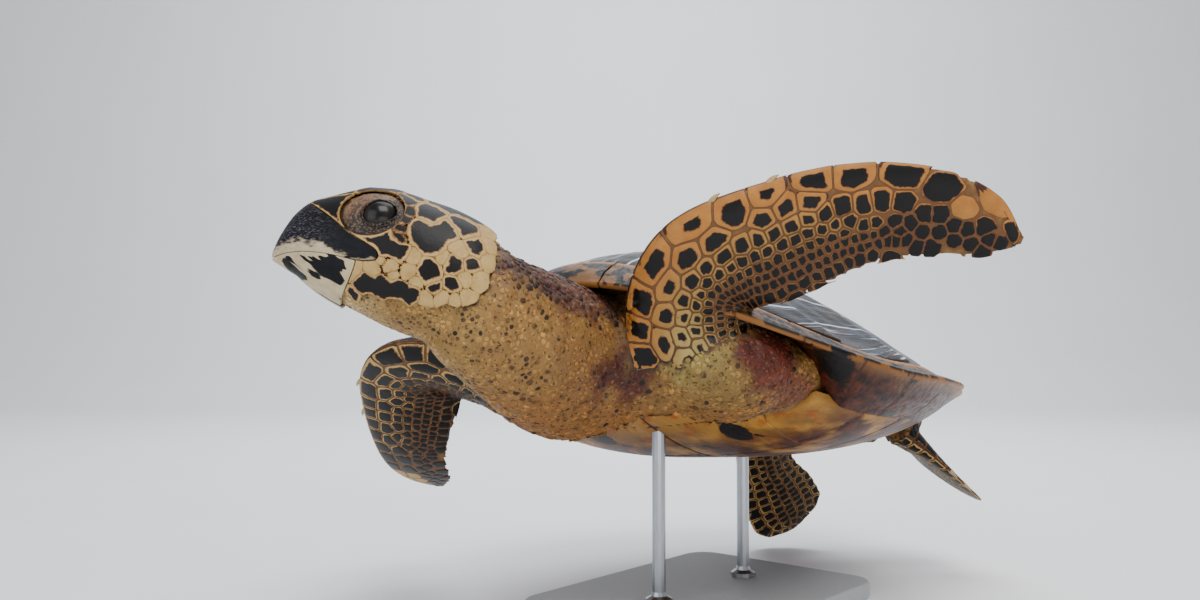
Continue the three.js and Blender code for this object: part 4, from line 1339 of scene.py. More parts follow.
def limb_coat(limb, rows, first):
    """The scales of a limb's upper face (face 1) and underside (face -1)."""
    coat = Coat()
    seeds = limb_seeds(limb, rows, first)
    places = seeds[:, :2]
    for face, shift in ((1, 0.0), (-1, 0.5)):
        plans, heights, facts = [], [], []
        for i, (_, _, spacing, border, dark) in enumerate(seeds):
            ground = plate_ground(limb, rows, first, places, i, spacing)
            if ground is None:
                continue
            centre = ground.mean(axis=0)
            reach = np.linalg.norm(ground - centre, axis=1)
            size = np.median(reach)
            if size < 1.6:
                continue
            gap = min(0.55, 0.11 * size)
            keep = 1 - gap / np.maximum(reach, 1.2 * gap)
            rings = [centre + (ground - centre) * (keep * (1 - f))[:, None] for f, _ in PLATE_RINGS]
            raise_by = min(1, size / 6)
            tall = [np.full(len(ground), h * (raise_by if h > 0 else 1)) for _, h in PLATE_RINGS]
            plans.append(np.vstack([*rings, centre, centre]))
            heights.append(np.concatenate([*tall, [-0.8], [0.72 * raise_by]]))
            away = np.concatenate([*[np.full(len(ground), f * size) for f, _ in PLATE_RINGS], [size, size]])
            from_middle = np.linalg.norm(plans[-1] - centre, axis=1)
            facts.append((len(ground), np.minimum(away, 1.12 * size - from_middle), border, dark, size))
        plan, height = np.vstack(plans), np.concatenate(heights)
        laid = lay(limb, face, plan[:, 0], plan[:, 1], height)
        at = 0
        for around, away, border, dark, size in facts:
            count = around * len(PLATE_RINGS) + 2
            rings = laid[at:at + count - 2].reshape(len(PLATE_RINGS), around, 3)
            _, faces = loft(rings)
            spot = plan[at:at + count]
            uv = np.stack([0.03 + 0.94 * spot[:, 0] / limb.length,
                           shift + 0.25 + 0.94 * spot[:, 1] / limb.length * 0.5], -1)
            middle = plan[at + count - 1]
            u = middle[0] / limb.length
            back_border = min(border * 0.45, 1.3)
            darker_tip = 1 - 0.6 * float(ease(0.68, 0.8, u)) * (limb.shape is FORE_SHAPE)
            edge = border * darker_tip if face < 0 else back_border
            tip = face < 0 and limb.shape is FORE_SHAPE and u > 0.86 and middle[1] > 7
            lead, trail, _ = limb.widths(np.clip(spot[:, 0] / limb.length, 0, 1))
            across = np.where(spot[:, 1] > 0, spot[:, 1] / lead, spot[:, 1] / trail)
            outer = 0.5 * np.clip((spot[:, 1] - middle[1]) / size, -1, 1) * (middle[1] > 0) * (face < 0)
            blob = away - edge * (1 + outer) if (dark or face > 0) and not tip else away * 0 - 5
            coat.add(laid[at:at + count], faces, uv, away=np.maximum(away, 0), blob=blob,
                     dorsal=float(face > 0), along=spot[:, 0] / limb.length, across=across,
                     warm=WARMTH[limb.name])
            at += count
    return coat


# ---- scales of the head ----

# distance behind the beak's tip, angle from the top in degrees, size, plate, pale border;
# seeds that share a plate make one scale
HEAD_SCALES = [
    (31, 19, 5, "prefrontal", 1.3), (42, 25, 6, "prefrontal", 1.3), (51, 29, 4, "prefrontal", 1.3),
    (41, 7, 7, "inner_prefrontal", 1.3), (54, 10, 6, "inner_prefrontal", 1.3),
    (26, 6, 2, "nasal", 1.0), (72, 12, 5, "supraocular", 1.2), (84, 12, 6, "supraocular", 1.2),
    (95, 14, 6, "supraocular", 1.2), (111, 20, 6, "frontal_side", 1.8),
    (127, 15, 8, "parietal", 1.9), (139, 17, 9, "parietal", 1.9), (151, 17, 8, "parietal", 1.9),
    (161, 16, 6, "parietal", 1.9), (122, 38, 9, "postocular", 2.4), (170, 8, 5, "nape_1", 9),
    (172, 24, 5, "nape_2", 9), (172, 40, 6, "nape_3", 9), (173, 56, 6, "nape_4", 9),
    (104, 33, 3, "granule_1", 0.5), (107, 43, 3, "granule_2", 0.5), (107, 53, 3, "granule_3", 0.5),
    (105, 62, 3, "granule_4", 0.5), (101, 70, 3, "granule_5", 0.5),
    (115, 58, 8, "temporal_1", 2.5), (126, 63, 11, "temporal_1", 2.5), (138, 52, 8, "temporal_1", 2.5),
    (129, 72, 5, "temporal_1", 2.5), (152, 39, 10, "temporal_2", 2.6), (161, 51, 9, "temporal_3", 2.6),
    (86, 75, 8, "cheek", 2.2), (94, 82, 9, "cheek", 2.2), (103, 86, 7, "cheek", 2.2),
    (92, 97, 4, "lip", 9), (97, 99, 6, "crease_1", 9), (111, 99, 6, "crease_2", 9),
    (127, 92, 10, "tympanic", 2.5), (145, 80, 7, "tympanic_2", 2.0), (159, 71, 5, "tympanic_3", 2.2),
    (146, 97, 6, "tympanic_4", 2.2), (133, 106, 5, "tympanic_5", 1.7), (136, 79, 4, "between_1", 9),
    (113, 87, 4, "between_2", 9), (150, 62, 5, "between_3", 9), (154, 88, 4, "between_4", 9),
    (166, 82, 5, "between_5", 9), (157, 104, 5, "between_6", 9),
    (78, 127, 8, "jaw", 1.6), (90, 122, 9, "jaw", 1.6), (103, 119, 9, "jaw", 1.6), (115, 118, 7, "jaw", 1.6),
    (67, 116, 6, "jaw_front", 9), (72, 141, 4, "jaw_low", 2.4), (126, 118, 6, "jaw_back", 9),
    (138, 112, 6, "jaw_back_2", 9), (148, 110, 5, "jaw_back_3", 9), (84, 109, 4, "jaw_top_1", 9),
    (100, 107, 4, "jaw_top_2", 9), (117, 106, 4, "jaw_top_3", 9),
]
MIDDLE_SCALES = [(66, 0, 9, "frontal", 1.4), (82, 0, 4, "frontal", 1.4), (101, 0, 10, "frontoparietal", 1.8),
                 (113, 0, 6, "frontoparietal", 1.8), (135, 0, 4, "interparietal", 1.6)]
THROAT_GHOSTS = [(64, 158, 8), (84, 142, 9), (104, 135, 9), (124, 131, 8), (144, 123, 8), (162, 116, 8),
                 (176, 98, 8), (182, 74, 9), (184, 50, 9), (184, 24, 9), (184, 0, 9)]


def side_distance(back, up, outline):
    """Distance in side view to a closed outline, above 0 inside it."""
    outline = np.array(outline, float)
    points = np.stack([np.ravel(back), np.ravel(up)], -1)
    inside = np.zeros(len(points), bool)
    a, b = outline, np.roll(outline, -1, axis=0)
    for (x1, y1), (x2, y2) in zip(a, b):
        crosses = (y1 > points[:, 1]) != (y2 > points[:, 1])
        with np.errstate(divide="ignore", invalid="ignore"):
            x = x1 + (points[:, 1] - y1) / (y2 - y1) * (x2 - x1)
        inside ^= crosses & (points[:, 0] < x)
    far = edge_distance(points, outline)
    return np.where(inside, far, -far).reshape(np.shape(back))


HEAD_STEP = 1.3                       # millimetres between the points of the head's scales
PLATE_SOFT = 24                       # how far the head's scales round each other's corners
PLAIN = 5                             # a scale with a wider border than this is pale all over
UPPER_SIDE = rounded(rounded(np.array(GAPE + BEAK_UPPER_TOP, float)))
LOWER_SIDE = rounded(rounded(np.array(GAPE[:5] + BEAK_LOWER_BACK, float)))


def head_seeds():
    """The places, sizes and names of the head's scales, and each name's pale border."""
    rows = [(back, side * angle, size, f"{name}{side}", border)
            for back, angle, size, name, border in HEAD_SCALES for side in (1, -1)]
    rows += MIDDLE_SCALES
    rows += [(back, side * angle, size, "", 0)
             for back, angle, size in THROAT_GHOSTS for side in ((1, -1) if angle else (1,))]
    places = np.array([head_surface(back, math.radians(angle)) for back, angle, _, _, _ in rows])
    _, _, sizes, names, borders = zip(*rows)
    return places, np.array(sizes, float), names, dict(zip(names, borders))


def head_regions(points, seeds, sizes, names, labels):
    """The number of the scale that each point belongs to, and by how much it does."""
    bent = points + 1.1 * np.stack([wobble(points, 7, k) for k in (1, 2, 3)], -1)
    square = ((bent[:, None, :] - seeds[None]) ** 2).sum(-1) - sizes ** 2
    nearness = np.exp(-np.minimum((square - square.min(axis=1, keepdims=True)) / PLATE_SOFT, 60))
    members = np.zeros((len(seeds), len(labels)))
    members[np.arange(len(seeds)), [labels[name] for name in names]] = 1
    pull = np.log(np.maximum(nearness @ members, 1e-30)) * PLATE_SOFT
    every = np.arange(len(points))
    owner = pull.argmax(axis=1)
    others = np.exp(np.maximum((pull - pull[every, owner][:, None]) / PLATE_SOFT, -60))
    others[every, owner] = 0
    return owner, -np.log(np.maximum(others.sum(axis=1), 1e-30)) * PLATE_SOFT


def border_distance(lead):
    """Millimetres to the scale's border on the head's grid, from how clearly points belong to it."""
    slope = [np.diff(lead, axis=axis, append=np.take(lead, [-1], axis)) / HEAD_STEP for axis in (0, 1)]
    steep = np.clip(np.hypot(*slope), 18, 60)
    around = [np.roll(steep, shift, axis) for axis in (0, 1) for shift in (1, -1)]
    return lead / np.median([steep, *around], axis=0)


def head_room(points, shape):
    """Millimetres to the beak, the eyelids or the nape on the head's grid, below 0 on them."""
    back, _, up = (v.reshape(shape) for v in head_local(points))
    off_beak = np.minimum(-side_distance(back, up, UPPER_SIDE), -side_distance(back, up, LOWER_SIDE)) - 0.7
    off_lid = np.full(len(points), 9.0)
    for side in (1, -1):
        height, _, lid, _ = lid_places(points, side)
        off_lid = np.where(height > 0, np.minimum(off_lid, (lid - 1) * 23), off_lid)
    return np.minimum(np.minimum(off_beak, off_lid.reshape(shape)), 178 - back)


def head_coat():
    coat = Coat()
    seeds, sizes, names, border_of = head_seeds()
    labels = {name: k for k, name in enumerate(dict.fromkeys(names))}
    backs = np.arange(20, 180, HEAD_STEP)
    angles = np.radians(np.arange(-150, 150.1, math.degrees(HEAD_STEP / 52)))
    rows, columns = np.meshgrid(backs, angles, indexing="ij")
    flat = head_surface(rows, columns).reshape(-1, 3)
    owner, lead = (v.reshape(rows.shape) for v in head_regions(flat, seeds, sizes, names, labels))
    field = border_distance(lead) - 0.3
    room = head_room(flat, rows.shape)
    for name, k in labels.items():
        if not name:
            continue
        own = np.where(owner == k, np.minimum(field, room), -0.5)
        own = np.where((owner != k) & (room > 0), np.minimum(-0.05, -field), own)
        if (own > 0).sum() < 5:
            continue
        r, c, value, quads = trimmed(rows, columns, own)
        edge = border_of[name]
        rise = (0.7 if edge < PLAIN else 0.45) * ease(0, 1.1, value) + 0.25 * ease(0.5, 6, value)
        top = head_surface(r, c, 0) + head_normals(r, c) * (rise - 0.85)[:, None]
        bottom = head_surface(r, c, 0) - head_normals(r, c) * 2.2
        points, faces = thickened(top, bottom, quads)
        blob = np.tile(value - edge if edge < PLAIN else value * 0 - 5, 2)
        uv = np.tile(np.stack([r / 190, 0.5 + c / (2 * math.pi)], -1), (2, 1))
        coat.add(points, faces, uv, away=np.tile(value, 2), blob=blob,
                 dorsal=0.5, along=np.tile(r / 190, 2), across=0.0, warm=0.0)
    return coat


def head_normals(back, angle):
    d = 0.5
    along = head_surface(back + d, angle) - head_surface(back - d, angle)
    around = head_surface(back, angle + 0.01) - head_surface(back, angle - 0.01)
    return unit(np.cross(along, around))


def scale_colours(p):
    """Pale borders, dark middles with ragged reddish edges and thin sutures."""
    blob, away, dorsal, across = (p.attribute(n) for n in ("blob", "away", "dorsal", "across"))
    along = p.attribute("along")
    ragged = p.maths("MULTIPLY_ADD", p.maths("SUBTRACT", p.noise(5.5, 4), 0.5), 4.4, blob)
    pale = p.blend(p.noise(18, 4), "6b5126", "a88443")
    pale = p.blend(p.step(along, 0.32, 0.14), pale, p.blend(p.noise(9, 4), "7b6a34", "a5935a"))
    edge = p.blend(p.noise(14, 4), "7f4a1a", "b27a38")
    outer = p.maths("MULTIPLY_ADD", along, 0.55, across)
    outer = p.times(p.step(outer, 0.15, 0.95), p.attribute("warm"))
    pale = p.blend(outer, pale, edge)
    low = p.times(p.step(across, 0.15, -0.5, 0, 0.65), p.step(along, 0.08, 0.2))
    pale = p.blend(low, pale, "56371b")
    pale = p.blend(p.step(p.attribute("warm"), 0.5, 0.1, 0, 0.6), pale, "bfa266")
    head_pale = p.blend(p.noise(9, 4), "8c6d38", "bfa26a")
    back_pale = p.blend(p.noise(9, 4), "866331", "b6935a")
    is_head = p.maths("COMPARE", dorsal, 0.5, 0.1)
    pale = p.blend(p.maths("GREATER_THAN", dorsal, 0.8), pale, back_pale)
    pale = p.blend(is_head, pale, head_pale)
    pale = p.blend(p.times(p.step(p.noise(2.2, 3), 0.58, 0.72), 0.35), pale, "6f4524")
    seam = p.blend(is_head, "3a1f14", "93713f")
    plain = p.times(is_head, p.step(blob, -4, -6, 0, 0.6))
    seam = p.blend(plain, seam, pale)
    suture = p.blend(p.step(away, 0.55, 0.1), pale, seam)
    rim = p.blend(p.step(ragged, -1.0, -0.1, 0, 0.8), suture, "5e2f17")
    ink = p.blend(p.noise(5, 4), "030303", "0a0708")
    base = p.blend(p.step(ragged, -0.25, 0.3), rim, ink)
    rough = p.step(ragged, -0.3, 0.4, 0.5, 0.42)
    relief = p.bump(p.noise(1.4, 4), 0.14, p.bump(p.noise(6, 3), 0.25))
    return base, rough, relief


def coat_paint():
    p = Paint("scales", 0.45, Specular_IOR_Level=0.22)
    return p.finish(*scale_colours(p))


skin_points = read_points(skin_mesh)
skin_tree = BVHTree.FromPolygons([Vector(v) for v in skin_points],
                                 [tuple(f.vertices) for f in skin_mesh.polygons])
scales_paint = coat_paint()
coats = []
for name, limb in limbs.items():
    rows, first = (FORE_ROWS, FORE_FIRST) if limb.shape is FORE_SHAPE else (HIND_ROWS, HIND_FIRST)
    coats.append(limb_coat(limb, rows, first).build(f"scales_{name}", scales_paint, "scaled_skin"))
coats.append(head_coat().build("scales_head", scales_paint, "scaled_skin"))


# ---- beak ----

def add_beak(name, outline, angles, grow):
    backs = np.concatenate([[0.25, 0.8], np.arange(1.6, 98, 1.15)])
    rows, columns = np.meshgrid(backs, angles, indexing="ij")
    flat = head_surface(rows, columns).reshape(-1, 3)
    back, _, up = (v.reshape(rows.shape) for v in head_local(flat))
    field = side_distance(back, up, outline) - 0.25
    r, c, value, quads = trimmed(rows, columns, field)
    edge = 0.7 * ease(0, 1.4, value)
    top = head_surface(r, c, 0) + head_normals(r, c) * (edge + grow - 0.5)[:, None]
    inward = np.minimum(2.4, 0.5 + 0.12 * r)
    bottom = head_surface(r, c, 0) - head_normals(r, c) * inward[:, None]
    points, faces = thickened(top, bottom, quads)
    back, left, up = head_local(points)
    gape = np.interp(back, *np.array(GAPE, float).T)
    solid_piece(name, [(points, faces)], beak_paint(name), [name],
                dict(lip=np.abs(up - gape), back=back, up=up, left=left), smooth_angle=60)


def beak_paint(name):
    p = Paint(name, 0.5, Specular_IOR_Level=0.16)
    lip, back, up = p.attribute("lip"), p.attribute("back"), p.attribute("up")
    flow = p.combined(p.times(back, 0.05), p.times(up, 0.11), p.times(p.attribute("left"), 0.06))
    coarse = p.texture(flow, 2.2, 5)
    cream = p.blend(p.noise(7, 4), "948468", "c8b894")
    dark = p.blend(p.noise(6, 4), "030305", "0b0b11")
    if name == "beak_upper":
        reach = p.step(back, 38, 62, 15.5, 8.5)
        level = p.maths("MULTIPLY_ADD", coarse, 16.0, p.maths("SUBTRACT", lip, reach))
        base = p.blend(p.step(level, -2.6, 2.0), cream, dark)
        mark = p.texture(p.stretched(flow, (0.7, 3.6, 2.0)), 6.0, 3)
        front = p.step(back, 62, 20, 0, 0.75)
        base = p.blend(p.times(p.step(mark, 0.55, 0.66), front), base, "77707a")
    else:
        fine_way = p.times(p.maths("MULTIPLY_ADD", up, -0.7, back), 0.16)
        slant = p.combined(p.maths("MULTIPLY_ADD", up, 1.5, back), fine_way, p.attribute("left"))
        streak = p.texture(slant, 0.075, 3)
        inner = p.times(p.step(lip, 1.5, 4.5), p.step(lip, 24, 18))
        inner = p.times(inner, p.times(p.step(back, 6, 14), p.step(back, 64, 56)))
        mark = p.maths("MULTIPLY_ADD", inner, 0.18, p.maths("SUBTRACT", streak, 0.1))
        base = p.blend(p.step(mark, 0.5, 0.54), cream, dark)
    relief = p.bump(coarse, 0.5, p.bump(p.noise(1.2, 3), 0.1))
    return p.finish(base, p.step(coarse, 0.35, 0.7, 0.4, 0.55), relief)


around_top = np.radians(np.arange(-150, 150.1, 2.0))
around_low = np.radians(np.arange(60, 300.1, 2.0))
add_beak("beak_upper", UPPER_SIDE, around_top, 0.2)
add_beak("beak_lower", LOWER_SIDE, around_low, 0.0)


# ---- eyes ----

def eye_paint():
    p = Paint("eye", 0.28, Specular_IOR_Level=0.25, Coat_Weight=0.12, Coat_Roughness=0.08)
    gaze = p.attribute("gaze")
    iris = p.blend(p.noise(1.2, 3), "0c0706", "1c110b")
    base = p.blend(p.step(gaze, 21, 23), "030304", iris)
    base = p.blend(p.step(gaze, 38, 41), base, "0c0909")
    return p.finish(base)


def add_eyes():
    paint = eye_paint()
    turn = 2 * math.pi * np.arange(64) / 64
    for name, side in (("eye_left", 1), ("eye_right", -1)):
        centre, out, rear, rise = eye_frame(side)
        rings, gaze = [], []
        for polar in np.linspace(1.5, 178.5, 44):
            a = math.radians(polar)
            flat = np.outer(np.cos(turn), rear) + np.outer(np.sin(turn), rise)
            rings.append(centre + EYE["radius"] * (math.cos(a) * out + math.sin(a) * flat))
            gaze.append(np.full(len(turn), polar))
        gaze = np.concatenate([*gaze, [0, 180]])
        solid_piece(name, [loft(rings)], paint, [name], dict(gaze=gaze))


add_eyes()


# ---- claws ----

CLAW = dict(length=15, radius=4.2, hook=60, lead=7)


def claw_loft(limb, u):
    P, T, L, N, _ = limb.at(u)
    lead = float(limb.widths(np.array([u]))[0][0])
    root = P + L * (lead - CLAW["lead"])
    turn = 2 * math.pi * np.arange(20) / 20
    rings, tips = [], []
    for s in np.linspace(0, 1, 18):
        bend = math.radians(CLAW["hook"]) * s + 0.5
        way = L * math.cos(bend) + T * math.sin(bend)
        centre = root + CLAW["length"] * s * (L * math.cos(0.6 * bend) + T * math.sin(0.6 * bend))
        flat = np.cross(N, way)
        radius = CLAW["radius"] * (1 - 0.86 * s ** 1.4)
        rings.append(centre + radius * (np.outer(np.cos(turn), flat) + 0.72 * np.outer(np.sin(turn), N)))
        tips.append(np.full(len(turn), s))
    return loft(rings), np.concatenate([*tips, [0, 1]])


def claw_paint():
    p = Paint("claw", 0.35, Coat_Weight=0.2, Coat_Roughness=0.2)
    base = p.blend(p.noise(3, 4), "8a6f45", "b59c6c")
    base = p.blend(p.step(p.attribute("tip"), 0.35, 0.0), base, "4a3524")
    return p.finish(base, None, p.bump(p.noise(1.0), 0.12))


claw_finish = claw_paint()
for limb_name, limb in limbs.items():
    for k, u in enumerate(limb.claws):
        form, tips = claw_loft(limb, u)
        name = f"claw_{limb_name}_{k + 1}"
        solid_piece(name, [form], claw_finish, [name], dict(tip=tips))


# ---- the skin's colours ----

# soft patches of colour on both sides, one of them a painted shadow: centre, half sizes, colour, strength
SKIN_TINTS = [
    ((400, 0, 0), (170, 130, 60), "87602c", 0.8), ((320, 0, -50), (110, 120, 50), "8c5a24", 0.8),
    ((440, 60, 15), (75, 50, 45), "97713a", 0.7), ((345, 80, 10), (50, 40, 40), "6e4824", 0.5),
    ((410, 40, 92), (120, 95, 36), "3c1c14", 0.95), ((345, 60, 62), (70, 60, 26), "481f16", 0.8),
    ((308, 90, 0), (44, 30, 30), "3d0e09", 1.0), ((290, 138, 10), (52, 48, 34), "8d7a3e", 0.95),
    # the dark 2f1a10 patch just below the shell's front rim over each shoulder is a painted shadow
    ((262, 160, -14), (46, 40, 26), "80652f", 0.8), ((276, 166, 58), (46, 36, 24), "2f1a10", 0.9),
    ((232, 186, 12), (44, 34, 32), "4a1109", 1.0), ((190, 180, -14), (50, 40, 26), "642b14", 0.85),
    ((235, 150, -50), (80, 70, 26), "8d5f26", 0.7), ((-200, 90, -30), (90, 80, 60), "664620", 0.6),
    ((-310, 0, -40), (60, 50, 40), "30221a", 0.7),
]
SKIN_BASE = "87632f"


def tone_of(code):
    return np.array(colour(code)[:3])


def tint_at(points):
    """The skin's colour at points of the animal's frame, with a painted shadow just below the shell's front
    rim over the shoulders.
    """
    tone = np.tile(tone_of(SKIN_BASE), (len(points), 1))
    loose = wobble(points, 26, 8, 3)
    for centre, half, code, strength in SKIN_TINTS:
        for side in (1, -1) if centre[1] else (1,):
            gap = (points - np.array(centre) * [1, side, 1]) / half
            share = strength * (1 - ease(0.55, 1.2, np.linalg.norm(gap, axis=1) + 0.5 * loose))
            tone = mix(tone, tone_of(code), share[:, None])
    back, left, up = head_local(points)
    on_head = np.where(np.hypot(left, up) < 110, 1 - ease(150, 195, back + 25 * loose), 0)
    throat = mix(tone_of("ad9562"), tone_of("94723a"), ease(60, 105, back)[:, None])
    tone = mix(tone, throat, on_head[:, None])
    lids = lid_share(points)
    high = ease(28, 50, up - 0.35 * (back - 80))[:, None]
    lid_tone = mix(tone_of("1a1313"), tone_of("6a4e38"), high)
    round_eye = np.zeros(len(points))
    for side in (1, -1):
        height, _, _, opening = lid_places(points, side)
        round_eye = np.maximum(round_eye, np.where(height > 0, 1 - ease(1.05, 1.5, opening), 0))
    lid_tone = mix(lid_tone, tone_of("0a0608"), 0.9 * round_eye[:, None])
    return mix(tone, lid_tone, lids[:, None])


coat_tree = KDTree(sum(len(c.data.vertices) // 3 for c in coats) + len(coats))
count = 0
for piece in coats:
    for p in unplaced(read_points(piece.data))[::3]:
        coat_tree.insert(p, count)
        count += 1
coat_tree.balance()


def off_coat(points):
    """Distance from points to the nearest point of the larger scales."""
    return np.array([coat_tree.find(p)[2] for p in points])


# ---- small scales of the loose skin ----

def scatter(spots, chosen, spacing):
    """Numbers of chosen spots, no nearer to each other than the spacing at each."""
    tree = KDTree(len(spots))
    for i, p in enumerate(spots):
        tree.insert(p, i)
    tree.balance()
    free = chosen.copy()
    kept = []
    for i in rng.permutation(np.flatnonzero(chosen)):
        if free[i]:
            kept.append(i)
            for _, k, _ in tree.find_range(spots[i], spacing[i]):
                free[k] = False
    return np.array(kept)


PEBBLE_SIDES = 6


def pebble(seed, normal, others, spacing, height):
    """A low closed plate on the skin that fills the ground nearest to its seed."""
    across = unit(np.cross(normal, [0.3, 0.2, 1.0]))
    up = np.cross(normal, across)
    flat = np.stack([(others - seed) @ across, (others - seed) @ up], -1)
    ground = ground_of(np.zeros(2), flat[np.argsort((flat ** 2).sum(axis=1))[:9]], 0.8 * spacing)
    if ground is None:
        return None
    ground = rounded(ground)
    turn = np.arctan2(ground[:, 1], ground[:, 0])
    order = np.argsort(turn)
    even = 2 * math.pi * np.arange(PEBBLE_SIDES) / PEBBLE_SIDES - math.pi
    reach = np.interp(even, turn[order], np.linalg.norm(ground[order], axis=1), period=2 * math.pi)
    reach = np.maximum(reach - 0.4, 0.5)
    way = np.outer(np.cos(even), across) + np.outer(np.sin(even), up)
    rings = [seed + way * (reach * f)[:, None] + normal * h
             for f, h in ((0.96, -0.9), (1.0, 0.05), (0.74, height))]
    points, faces = loft(rings)
    points[-1] = seed + normal * height * 1.15
    points[-2] = seed - normal * 0.9
    return points, faces


def face_centres(mesh):
    centres, normals = (np.empty(len(mesh.polygons) * 3, np.float32) for _ in range(2))
    mesh.polygons.foreach_get("center", centres)
    mesh.polygons.foreach_get("normal", normals)
    return centres.reshape(-1, 3).astype(float), normals.reshape(-1, 3).astype(float)


def bare_skin(points):
    """True where neither the shell, the beak, the lids nor the larger scales cover the skin."""
    x, y, z = points.T
    share = share_at(x, y)
    covered = (share < 0.84) & (z < dome_height(x, y)) & (z > belly_height(x, y) - 2)
    covered |= (np.abs(y) < curve(PLASTRON_HALF, x)[:, 0]) & (x < 286) & (x > -258) & (z < 20)
    back, left, up = head_local(points)
    beak = np.maximum(side_distance(back, up, UPPER_SIDE), side_distance(back, up, LOWER_SIDE))
    covered |= (np.hypot(left, up) < 110) & (back < 110) & (beak > -2.5)
    for limb in limbs.values():
        u, w, h = limb.local(points)
        lead, trail, thick = limb.widths(u)
        first = (FORE_FIRST if limb.shape is FORE_SHAPE else HIND_FIRST) - 0.025
        covered |= (u > first) & (w < lead + 4) & (w > -trail - 4) & (np.abs(h) < thick / 2 + 4)
    return ~covered & (lid_share(points) < 0.02) & (off_coat(points) > 2.4)


def add_small_scales(paint):
    centres, normals = face_centres(skin_mesh)
    spots = np.vstack([skin_points, centres])
    normals = np.vstack([read_normals(skin_mesh), normals])
    x, _, z = spots.T
    back, left, up = head_local(spots)
    on_head = (back < 172) & (np.hypot(left, up) < 110)
    nape = (x > 300) & (z > np.interp(x, [300, 340, 440, 480], [30, 44, 66, 92])) & ~on_head
    neck = (x > 330) & ~on_head
    spacing = np.select([on_head, nape, neck], [3.5, 5.2, 4.2], 4.8)
    spacing = spacing * rng.uniform(0.75, 1.25, len(spots))
    ink_share = np.select([on_head, nape, neck], [0.10, 0.40, 0.12], 0.08)
    seeds = scatter(spots, bare_skin(spots), spacing)
    near = KDTree(len(seeds))
    for k, i in enumerate(seeds):
        near.insert(spots[i], k)
    near.balance()
    # the pebbles' tints carry the skin's painted shadow below the shell's front rim
    tints = tint_at(spots[seeds])
    clumps = wobble(spots[seeds], 14, 21)
    coats_of = {"scales_throat": Coat(), "scales_neck": Coat(), "scales_body": Coat()}
    for k, i in enumerate(seeds):
        seed, normal = spots[i], normals[i]
        others = np.array([p for p, _, _ in near.find_n(seed, 11)][1:])
        tall = (0.7 if nape[i] else 0.36) * rng.uniform(0.7, 1.25)
        made = pebble(seed, normal, others, spacing[i], tall)
        if made is None:
            continue
        spot = [0.5 + seed[0] / 1100, 0.5 + math.atan2(seed[1], seed[2] - 15) / (2 * math.pi)]
        frame_2d = np.stack([[1, 0, 0], unit(np.cross([1, 0, 0], normal) + 1e-6)], -1)
        dark = rng.uniform() < ink_share[i] * (1 + 3 * clumps[k])
        which = "scales_throat" if on_head[i] else "scales_neck" if seed[0] > 318 else "scales_body"
        tone = np.tile(tints[k] * rng.uniform(0.78, 1.16) * (1 - 0.6 * clumps[k]), (len(made[0]), 1))
        coats_of[which].add(*made, spot + (made[0] - seed) @ frame_2d / 1400, tint=tone,
                            ink=float(dark) * rng.uniform(0.35, 1))
    for name, coat in coats_of.items():
        coat.build(name, paint, "scaled_skin")


def skin_paint():
    """The skin between the scales; the lids keep their own grain."""
    p = Paint("skin", 0.55, Specular_IOR_Level=0.35)
    tint, lid, under = p.tint(), p.attribute("lid"), p.attribute("under_scales")
    base = p.blend(0.3, tint, "3a2616")
    grains = p.cells(1.9)
    lid_base = p.blend(p.step(grains, 0.25, 0.6), p.blend(0.5, tint, "7d6448"), tint)
    lid_base = p.blend(p.step(p.noise(7, 3), 0.5, 0.62, 0, 0.6), lid_base, "0d090c")
    base = p.blend(lid, base, lid_base)
    base = p.blend(under, base, p.blend(p.attribute("on_limb"), "241710", "5d3a19"))
    relief = p.bump(grains, 0.35, p.bump(p.noise(6, 4), 0.5))
    return p.finish(base, p.step(lid, 0, 1, 0.6, 0.42), relief)


def pebble_paint():
    p = Paint("small_scales", 0.5, Specular_IOR_Level=0.25)
    base = p.blend(p.step(p.noise(13, 5), 0.5, 0.68, 0, 0.55), p.tint(), "4d2b14")
    base = p.blend(p.step(p.noise(3.5, 4), 0.5, 0.75, 0, 0.3), base, "b08b50")
    base = p.blend(p.step(p.noise(3.2, 4), 0.53, 0.60, 0, 0.8), base, "2a160c")
    base = p.blend(p.attribute("ink"), base, "1b0f09")
    relief = p.bump(p.noise(1.3, 3), 0.15)
    return p.finish(base, None, relief)


add_small_scales(pebble_paint())
lids = lid_share(skin_points)
on_limb = np.zeros(len(skin_points))
for limb in limbs.values():
    on_limb = np.maximum(on_limb, ease(0.12, 0.2, limb.local(skin_points)[0]))
# the skin's tint holds a painted shadow below the shell's front rim
paint_values(skin_mesh, tint=tint_at(skin_points), lid=lids, on_limb=on_limb,
             under_scales=1 - ease(1.5, 4, off_coat(skin_points)))
skin_mesh.transform(Matrix.LocRotScale(Vector((-CENTRE_X * MM, 0, SWIM_HEIGHT * MM)),
                                       Matrix(BODY_TURN.tolist()).to_quaternion(), Vector((MM,) * 3)))
add_piece("skin", skin_mesh, skin_paint(),
          ["trunk", "neck", "head", "tail", *("flipper_" + name for name in limbs)])


# ---- the stand's finish ----

def stand_paint(name, dark, light, metallic, roughness):
    p = Paint(name, roughness, Metallic=metallic)
    grainy = p.noise(0.8, 4, p.stretched(p.place(), (1, 1, 0.06) if metallic else (1, 1, 1)))
    return p.finish(p.blend(grainy, dark, light), None, p.bump(grainy, 0.03))


steel = stand_paint("steel", "8b8f94", "b4b8bc", 1.0, 0.3)
powder_coat = stand_paint("powder_coat", "9a9da0", "a9acaf", 0.0, 0.6)
for node_name, finish in (("stand_base", powder_coat), ("stand_rod_1", steel), ("stand_rod_2", steel)):
    for slot in bpy.data.objects[node_name].material_slots:
        slot.material = finish


# ---- floor, light and camera ----

